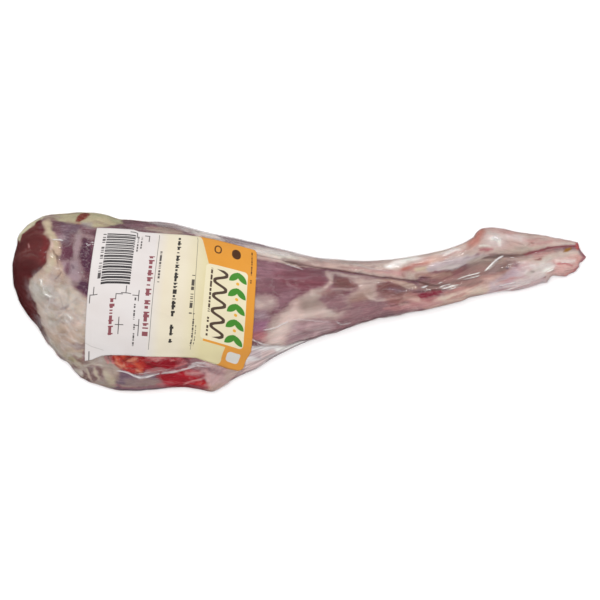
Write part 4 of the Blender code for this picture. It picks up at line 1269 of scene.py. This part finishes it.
def film_material():
    s = Shading("clear_film")
    pleats = s.attribute("pleats")
    flow = s.attribute("flow", "Vector")
    own = s.own_place()
    line = s.line()
    crinkles = s.noise(flow, (0.16, 1.0, 1.0), 330.0, 2.0, 0.5)
    ripples = s.noise(own, (0.5, 1.0, 1.0), 95.0, 1.0, 0.5)
    streaks = s.noise(flow, (0.06, 1.0, 1.0), 560.0, 3.0, 0.6)
    breaks = s.noise(own, (1.0, 1.0, 1.0), 230.0, 2.0, 0.5)
    height = s.plus(s.times(crinkles, s.ramp(pleats, 0.0, 1.0, 0.30, 0.9)), ripples,
                    s.times(line, 0.35))
    surface = {"Roughness": s.ramp(crinkles, 0.35, 0.65, 0.08, 0.18),
               "Normal": s.bump(height, 0.5, 0.9 * MM)}
    fresnel = s.add("Fresnel", {"IOR": FILM_IOR, "Normal": surface["Normal"]}).outputs[0]
    gloss = s.add("BsdfGlossy", {"Color": grey(1.0), **surface})
    # A painted shadow darkens the clear film on one side of each fold.
    shade = s.times(s.line(FOLD_SHADE), 0.12)
    clear = s.add("BsdfTransparent", {"Color": s.mix(shade, grey(1.0), grey(0.45))})
    sheet = s.add("MixShader", {0: s.math("MINIMUM", fresnel, 0.12),
                                1: clear.outputs[0], 2: gloss.outputs[0]})

    # The film is milky where it is hazy and in the streaks of its pleats; the wisp-like white over the
    # silverskin and the white along folds are painted highlights.
    folds = s.size(s.minus(s.noise(own, (1.0, 1.0, 1.0), 75.0, 3.0, 0.55), 0.5))
    wisps = s.times(s.ramp(folds, 0.0, 0.10, 1.0, 0.0), s.attribute("wisps"))
    streaked = s.mix(pleats, grey(1.0), s.ramp(streaks, 0.36, 0.64, 0.55, 1.35))
    milk = s.most(s.plus(s.times(s.attribute("haze"), streaked), wisps),
                  s.times(line, s.ramp(breaks, 0.36, 0.54, 0.6, 1.0)))
    body = s.add("BsdfPrincipled", {"Base Color": s.attribute("film_tint", "Color"),
                                    "IOR": FILM_IOR, **surface})
    return s.finish("MixShader", {0: s.math("MINIMUM", milk, 0.95),
                                  1: sheet.outputs[0], 2: body.outputs[0]})


def film_looks(base, spots, normals, up):
    """The film's haze, its pleats and its tint at each place."""
    haze = np.full(len(base), LEAST_HAZE)
    pleats = np.full(len(base), LEAST_PLEATS)
    tint = np.tile(linear("film"), (len(base), 1))
    ragged = spots + np.stack([ripple(base, 8 * MM, seed) for seed in (20, 21)], axis=1) * 2.0
    slope = smooth_step(abs(normals[:, 2]), -0.3, 0.5)
    for veils, side in ((VEILS, up), (UNDER_VEILS, 1.0 - up)):
        for veil in veils:
            amount = cover(ragged, veil.points, veil.soft) * side * slope
            haze = np.maximum(haze, veil.haze * amount)
            pleats = np.maximum(pleats, veil.pleats * amount)
            tint += (linear(veil.colour) - tint) * amount[:, None]
    return haze, pleats, tint


def build_leg():
    """The meat and the film over it, both on the CAD solid's form."""
    film = fine_leg()
    meat = Skin(film.mesh.copy())
    base = film.places
    spots = plan_places(base)
    flow = flow_places(base)
    normals = film.normals()
    up = smooth_step(normals[:, 2], -0.45, -0.05)
    side_spots = drifted(spots, base, flow, normals)
    ends = 0.3 * ripple(flow * (0.3, 1, 1), 6 * MM, 45) + 0.1 * ripple(base, 5 * MM, 46)
    top = smooth_step(normals[:, 2] + ends, -0.15, 0.2)
    relief = meat_relief(base, flow, spots, up)
    paint, cut = leg_paint(base, flow, side_spots, up, top)
    meat.swell(relief - MEAT_DEPTH)
    meat.set_colours(muscle=paint.muscle, pale=paint.pale)
    meat.set_numbers(pale_share=paint.share, cut=cut, **both_sides(spots, up, DARK_LINES, UNDER_LINES))
    meat.set_vectors(flow=flow)

    haze, pleats, tint = film_looks(base, side_spots, normals, up)
    lifted = reduce(np.maximum, (fold.height * cover(spots, fold.points * (1, 1, 0.8), FOLD_SOFT)
                                 for fold in FOLDS))
    pleated = PLEAT_HEIGHT * pleats * np.clip(ripple(flow * (0.07, 1, 1), 2.1 * MM, 23), -0.2, 1.0)
    taut = np.maximum(film.averaged(relief, FILM_SMOOTHING)[:, 0], relief - FILM_SAG)
    height = taut * FILM_FOLLOWS - FILM_DEPTH + lifted * up + pleated
    film.swell(np.maximum(height, relief - MEAT_DEPTH + FILM_GAP))
    film.set_colours(film_tint=tint)
    # Among the film's numbers are the white glints painted over the silverskin.
    film.set_numbers(haze=haze, pleats=pleats, wisps=GLINT_WISPS * cover(spots, SILVERSKIN, 6.0) * up,
                     **both_sides(spots, up, FOLDS, UNDER_FOLDS))
    film.set_vectors(flow=flow)
    return meat, film


def shown(name, skin, material, node):
    """A piece of the model that rides on the leg and stands in for a CAD node. What would reach
    below the surface that the leg lies on is pressed flat."""
    places = skin.places.copy()
    places[:, 2] = np.maximum(places[:, 2], 0.0)
    skin.move(places)
    skin.mesh.name = name
    skin.mesh.materials.clear()
    skin.mesh.materials.append(material)
    skin.mesh.shade_smooth()
    piece = bpy.data.objects.new(name, skin.mesh)
    bpy.context.scene.collection.objects.link(piece)
    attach(piece, "root")
    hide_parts(node)
    return piece


def label_place(across, down):
    """Where a point of the label lies seen from above: across and down run from 0 to 1."""
    def bent(share, bends):
        return float(np.interp(share, *zip(*bends))) * MM

    top = LABEL_TOP_LEFT.lerp(LABEL_TOP_RIGHT, across)
    top.y += bent(across, LABEL_BOW)
    low = LABEL_LOW_LEFT.lerp(LABEL_LOW_RIGHT, across)
    low.y += bent(across, LABEL_DRAW_IN)
    place = top.lerp(low, down) + LABEL_SHIFT
    place.x += bent(down, LABEL_SWELL) * across**3
    place.x -= LABEL_LEFT_BULGE * (1.0 - across) ** 3 * math.sin(math.pi * down)
    into_corner = 1.0 - min(down, 1.0 - down) * (low - top).length / LABEL_CORNER
    if into_corner > 0.0:
        place.x -= across * LABEL_CORNER * (1.0 - math.sqrt(1.0 - into_corner**2))
    return place


def paper_heights(rest, u, v):
    """The heights of stiff paper on the film's heights, with a bent corner and a soft fold."""
    height = rest.copy()
    for _ in range(PAPER_SMOOTHING):
        padded = np.pad(height, 1, mode="reflect", reflect_type="odd")
        spread = (padded[:-2, 1:-1] + padded[2:, 1:-1] + padded[1:-1, :-2] + padded[1:-1, 2:]) / 4
        height = np.maximum(0.5 * height + 0.5 * spread, rest)
    past_crease = np.clip(v - CREASE_DOWN - u * CREASE_SLOPE, 0.0, CREASE_REACH)
    fold = np.exp(-((v - FOLD_DOWN - u * FOLD_SLOPE) / FOLD_HALF) ** 2)
    fold *= smooth_step(u, 38, 44) * smooth_step(-u, -66, -58)
    return height + PAPER_GAP + (CREASE_RISE * past_crease + FOLD_HEIGHT * fold) * MM


def build_label(film):
    """The label: a sheet on the film, with its print laid over it as a UV map."""
    tree = BVHTree.FromPolygons([Vector(place) for place in film.places],
                                [tuple(face.vertices) for face in film.mesh.polygons])
    across = np.linspace(0.0, 1.0, LABEL_COLUMNS + 1)
    down = np.linspace(0.0, 1.0, LABEL_ROWS + 1)
    flat = np.array([[label_place(u, v) for u in across] for v in down])
    rest = np.array([[tree.ray_cast(Vector((x, y, ABOVE_LEG)), Vector((0, 0, -1)))[0].z for x, y in row]
                     for row in flat])
    height = paper_heights(rest, *np.meshgrid(across * LABEL_WIDE, down * LABEL_TALL))
    shape = bmesh.new()
    print_layer = shape.loops.layers.uv.new("print")
    corners = [[shape.verts.new((*flat[j, i], height[j, i])) for i in range(LABEL_COLUMNS + 1)]
               for j in range(LABEL_ROWS + 1)]
    for j in range(LABEL_ROWS):
        for i in range(LABEL_COLUMNS):
            ring = ((j, i), (j + 1, i), (j + 1, i + 1), (j, i + 1))
            face = shape.faces.new([corners[row][column] for row, column in ring])
            for loop, (row, column) in zip(face.loops, ring):
                loop[print_layer].uv = (across[column], 1.0 - down[row])
    mesh = bpy.data.meshes.new("label_sheet")
    shape.to_mesh(mesh)
    shape.free()
    return Skin(mesh)


class Print(Shading):
    """The label's shading, with masks for printed shapes in millimetres across and down it."""

    def __init__(self, name, paper):
        super().__init__(name)
        self.colour = ink(paper)
        parts = self.add("SeparateXYZ", {0: self.add("UVMap", uv_map="print").outputs[0]})
        self.u = self.times(parts.outputs[0], LABEL_WIDE)
        self.v = self.times(self.minus(1.0, parts.outputs[1]), LABEL_TALL)

    def stamp(self, colour, mask, density=1.0):
        """Prints a named colour over what is there, where a mask shows."""
        mask = mask if density == 1.0 else self.times(mask, density)
        self.colour = self.mix(mask, self.colour, ink(colour))

    def off(self, value, first, last, inset=0.0):
        """How far a value lies outside a span."""
        return self.minus(self.size(self.minus(value, (first + last) / 2)), (last - first) / 2 - inset)

    def inside(self, gap):
        return self.ramp(gap, -0.10, 0.10, 1.0, 0.0)

    def box(self, u0, u1, v0, v1, slant=0.0):
        along = self.minus(self.u, self.times(self.v, slant)) if slant else self.u
        return self.inside(self.most(self.off(along, u0, u1), self.off(self.v, v0, v1)))

    def rule(self, u0, u1, v0, v1):
        """A printed line, a little wider than its box."""
        return self.box(u0 - RULE_GAIN, u1 + RULE_GAIN, v0 - RULE_GAIN, v1 + RULE_GAIN)

    def length(self, first, second):
        return self.math("SQRT", self.plus(self.math("POWER", first, 2.0), self.math("POWER", second, 2.0)))

    def round_box(self, u0, u1, v0, v1, radius):
        outside = (self.most(self.off(self.u, u0, u1, radius), 0.0),
                   self.most(self.off(self.v, v0, v1, radius), 0.0))
        return self.inside(self.minus(self.length(*outside), radius))

    def leaf(self, u0, v0, long, wide, turn):
        """A pointed leaf about a middle: where two circles overlap."""
        cos, sin = math.cos(turn), math.sin(turn)
        du, dv = self.minus(self.u, u0), self.minus(self.v, v0)
        along = self.plus(self.times(du, cos), self.times(dv, sin))
        across = self.minus(self.times(dv, cos), self.times(du, sin))
        radius = (long * long + wide * wide) / (4.0 * wide)
        shifted = self.plus(self.size(across), radius - wide / 2.0)
        return self.inside(self.minus(self.length(shifted, along), radius))

    def wave(self, middle, swing, turns, half, v0, v1):
        """A ribbon that swings from side to side down the label."""
        phase = self.times(self.v, turns)
        gap = self.size(self.minus(self.u, middle, self.times(self.math("SINE", phase), swing)))
        slope = self.times(self.math("COSINE", phase), swing * turns)
        gap = self.minus(self.math("DIVIDE", gap, self.length(slope, 1.0)), half)
        return self.inside(self.most(gap, self.off(self.v, v0, v1)))

    def marks(self, pitch, seed, share):
        """Random dashes down the label, with one chance for each pitch."""
        step = self.math("FLOOR", self.math("DIVIDE", self.v, pitch))
        chance = self.add("TexWhiteNoise", {"W": self.plus(step, seed)}, noise_dimensions="1D")
        return self.math("LESS_THAN", chance.outputs["Value"], share)

    def bars(self, u0, u1, v0, v1, pitch, seed, share):
        return self.times(self.box(u0, u1, v0, v1), self.marks(pitch, seed, share))

    def row(self, u0, u1, v0, v1, pitch, seed, share):
        """A row of small print: dashes of two heights, in groups."""
        low = self.box(u0 + 0.1 * (u1 - u0), u1 - 0.3 * (u1 - u0), v0, v1)
        dashes = self.most(low, self.bars(u0, u1, v0, v1, pitch, seed + 0.5, 0.35))
        groups = self.marks(pitch * 7.3, seed + 7.0, 0.95)
        return self.times(dashes, self.marks(pitch, seed, share), groups)


# Thin frames: each is a box by its first and last u and v in millimetres.
THIN_MARKS = ((22.0, 26.6, 1.5, 1.8), (26.3, 26.6, 1.5, 4.6), (31.4, 34.4, 2.4, 2.7),
              (34.1, 34.4, 2.4, 6.2), (3.4, 3.7, 36.6, 41.6), (1.4, 6.0, 41.3, 41.6),
              (1.4, 1.7, 41.3, 46.4), (23.6, 23.9, 36.6, 41.4), (20.8, 26.8, 41.1, 41.4),
              (17.6, 17.9, 41.9, 45.6), (17.6, 21.8, 41.9, 42.2), (31.6, 31.9, 38.6, 45.6),
              (28.0, 31.9, 41.9, 42.2), (20.6, 20.9, 57.0, 68.0), (18.6, 23.6, 61.8, 62.1),
              (33.0, 33.3, 57.6, 68.6), (30.6, 33.3, 61.6, 61.9), (2.4, 2.8, 76.4, 82.0))
# Rows of small print: first and last u and v, the pitch, a seed and the share that is inked.
SMALL_ROWS = ((5.0, 6.9, 3.4, 34.6, 0.62, 210.0, 0.5), (42.2, 43.5, 12.0, 32.5, 0.5, 90.0, 0.6),
              (27.0, 27.9, 3.4, 14.2, 0.45, 120.0, 0.6), (29.2, 30.1, 3.4, 13.0, 0.45, 125.0, 0.6),
              (29.4, 30.4, 43.5, 58.0, 0.45, 160.0, 0.6), (30.0, 31.0, 61.0, 76.0, 0.45, 165.0, 0.6),
              (63.4, 65.2, 26.0, 52.5, 0.6, 180.0, 0.6), (66.0, 67.0, 52.0, 74.0, 0.45, 190.0, 0.55),
              (68.0, 68.5, 60.0, 74.0, 0.45, 195.0, 0.55))
# The pairs of leaves down the window, and the distance from one to the next.
LEAVES = 5
LEAF_PITCH = 10.4


def print_panel(s):
    """The orange panel, with leaves, fruit and a wave in its pale window."""
    s.stamp("orange", s.box(67.0, 110.0, -5.0, 18.0, 0.33))
    s.stamp("orange", s.most(s.box(73.4, 110.0, 15.0, 70.0), s.box(87.0, 110.0, 60.0, 100.0)))
    s.stamp("window", s.round_box(71.4, 97.0, 17.5, 68.5, 2.4))
    s.stamp("field", s.round_box(89.6, 97.6, 71.8, 78.4, 1.8))
    s.stamp("leaf", s.most(*(s.leaf(91.2 + 2.2 * side, 22.2 + LEAF_PITCH * k, 9.0, 4.0, 0.8 * side)
                             for k in range(LEAVES) for side in (-1, 1))))
    s.stamp("fruit", s.most(*(s.round_box(90.2, 92.2, 25.4 + LEAF_PITCH * k, 27.4 + LEAF_PITCH * k, 1.0)
                              for k in range(LEAVES - 1))))
    s.stamp("brown", s.most(s.wave(80.8, 3.5, 0.62, 0.95, 20.0, 66.0),
                            s.bars(74.6, 75.8, 20.0, 66.0, 0.7, 3.0, 0.6),
                            s.round_box(75.5, 80.1, 4.2, 9.6, 2.3), s.round_box(86.5, 92.0, 4.0, 10.4, 2.7),
                            s.bars(98.6, 99.4, 3.0, 24.0, 0.45, 31.0, 0.5)), 0.94)
    s.stamp("orange", s.round_box(76.3, 79.3, 5.0, 8.8, 1.5))


def print_rows(s):
    """The rows of small print, the bar block and the thin frames."""
    s.stamp("red_print", s.most(s.row(35.6, 39.2, 15.6, 68.5, 0.95, 40.0, 0.68),
                                s.row(14.2, 17.4, 45.0, 68.8, 0.95, 77.0, 0.68)), 0.9)
    beats = s.plus(*(s.math("SINE", s.times(s.v, 2.0 * math.pi / period)) for period in (1.72, 1.13)))
    bars = s.times(s.box(7.4, 25.6, 3.0, 35.6), s.ramp(beats, -0.6, -0.1))
    s.stamp("black_print", s.most(bars, s.row(52.4, 54.8, 2.4, 72.4, 0.75, 60.0, 0.72)), 0.95)
    s.stamp("grey_print", s.most(s.box(40.3, 40.6, 1.4, 77.4), s.box(64.6, 64.85, 1.2, 76.6, 0.03),
                                 *(s.rule(*mark) for mark in THIN_MARKS),
                                 *(s.bars(*row) for row in SMALL_ROWS)), 0.9)


def label_material():
    s = Print("printed_paper", "paper")
    s.stamp("paper_cream", s.ramp(s.u, 38.0, 47.0))
    s.stamp("paper_yellow", s.ramp(s.u, 58.0, 74.0))
    print_panel(s)
    print_rows(s)
    # A grey line along the crease across the near left corner: painted shade in the crease.
    past_crease = s.minus(s.v, s.plus(CREASE_DOWN, s.times(s.u, CREASE_SLOPE)))
    crease = s.times(s.inside(s.off(past_crease, -0.25, 0.25)), s.box(-1.0, 12.0, 68.0, 80.0))
    s.stamp("crease", crease, 0.35)
    own = s.own_place()
    fibre = s.noise(own, (1.0, 1.0, 1.0), 900.0, 3.0, 0.6)
    stains = s.noise(own, (1.0, 1.0, 1.0), 42.0, 2.0, 0.5)
    return s.finish("BsdfPrincipled", {
        "Base Color": s.mix(s.ramp(stains, 0.35, 0.7), s.colour, (0.95, 0.93, 0.92, 1.0), "MULTIPLY"),
        "Roughness": s.ramp(fibre, 0.3, 0.7, 0.40, 0.52),
        "Normal": s.bump(s.plus(fibre, s.times(stains, 2.0)), 0.25, 0.12 * MM),
    })


def add_lamp(name, place, size, power, glossy):
    light = bpy.data.lights.new(name, "AREA")
    light.shape = "RECTANGLE"
    light.size, light.size_y = size
    light.energy = power
    lamp = bpy.data.objects.new(name, light)
    bpy.context.scene.collection.objects.link(lamp)
    lamp.location = place
    lamp.rotation_euler = Vector(place).to_track_quat("Z", "Y").to_euler()
    lamp.visible_glossy = glossy


def add_floor():
    """A pale floor just under the leg, which shows in no reflection."""
    mesh = bpy.data.meshes.new("floor")
    shape = bmesh.new()
    bmesh.ops.create_grid(shape, x_segments=1, y_segments=1, size=FLOOR_HALF)
    shape.to_mesh(mesh)
    shape.free()
    floor = bpy.data.objects.new("floor", mesh)
    bpy.context.scene.collection.objects.link(floor)
    floor.location.z = -FLOOR_GAP
    s = Shading("pale_floor")
    colour = s.mix(s.noise(s.own_place(), (1.0, 1.0, 1.0), 30.0), grey(0.96), grey(0.98))
    white = s.add("BsdfDiffuse", {"Color": colour})
    lit = s.add("Emission", {"Color": grey(1.0), "Strength": FLOOR_GLOW})
    mesh.materials.append(s.finish("AddShader", {0: white.outputs[0], 1: lit.outputs[0]}))
    floor.visible_glossy = False


def add_camera():
    """The camera looks straight down on the leg, as the photograph does."""
    lens = bpy.data.cameras.new("camera")
    lens.sensor_width = SENSOR
    lens.lens = LENS
    lens.clip_end = 20.0
    camera = bpy.data.objects.new("camera", lens)
    bpy.context.scene.collection.objects.link(camera)
    camera.location = (PLAN_CENTRE.x, PLAN_CENTRE.y, EYE_Z)
    bpy.context.scene.camera = camera


def build_studio():
    scene = bpy.context.scene
    scene.view_settings.view_transform = "Standard"
    world = bpy.data.worlds.new("studio")
    scene.world = world
    world.use_nodes = True
    backdrop = world.node_tree.nodes["Background"]
    backdrop.inputs["Color"].default_value = grey(1.0)
    backdrop.inputs["Strength"].default_value = BACKDROP_LIGHT
    world.cycles_visibility.glossy = False
    for name, lamp in LAMPS.items():
        add_lamp(name, *lamp)
    add_floor()
    add_camera()


def main():
    build_studio()
    meat, film = build_leg()
    label = build_label(film)
    shown("leg_meat", meat, meat_material(), "wrapped_leg")
    shown("clear_film", film, film_material(), "wrapped_leg")
    sheet = shown("label_sheet", label, label_material(), "label")
    paper = sheet.modifiers.new("paper", "SOLIDIFY")
    paper.thickness = PAPER_THICK
    paper.offset = 1.0
    bpy.context.view_layer.update()


main()
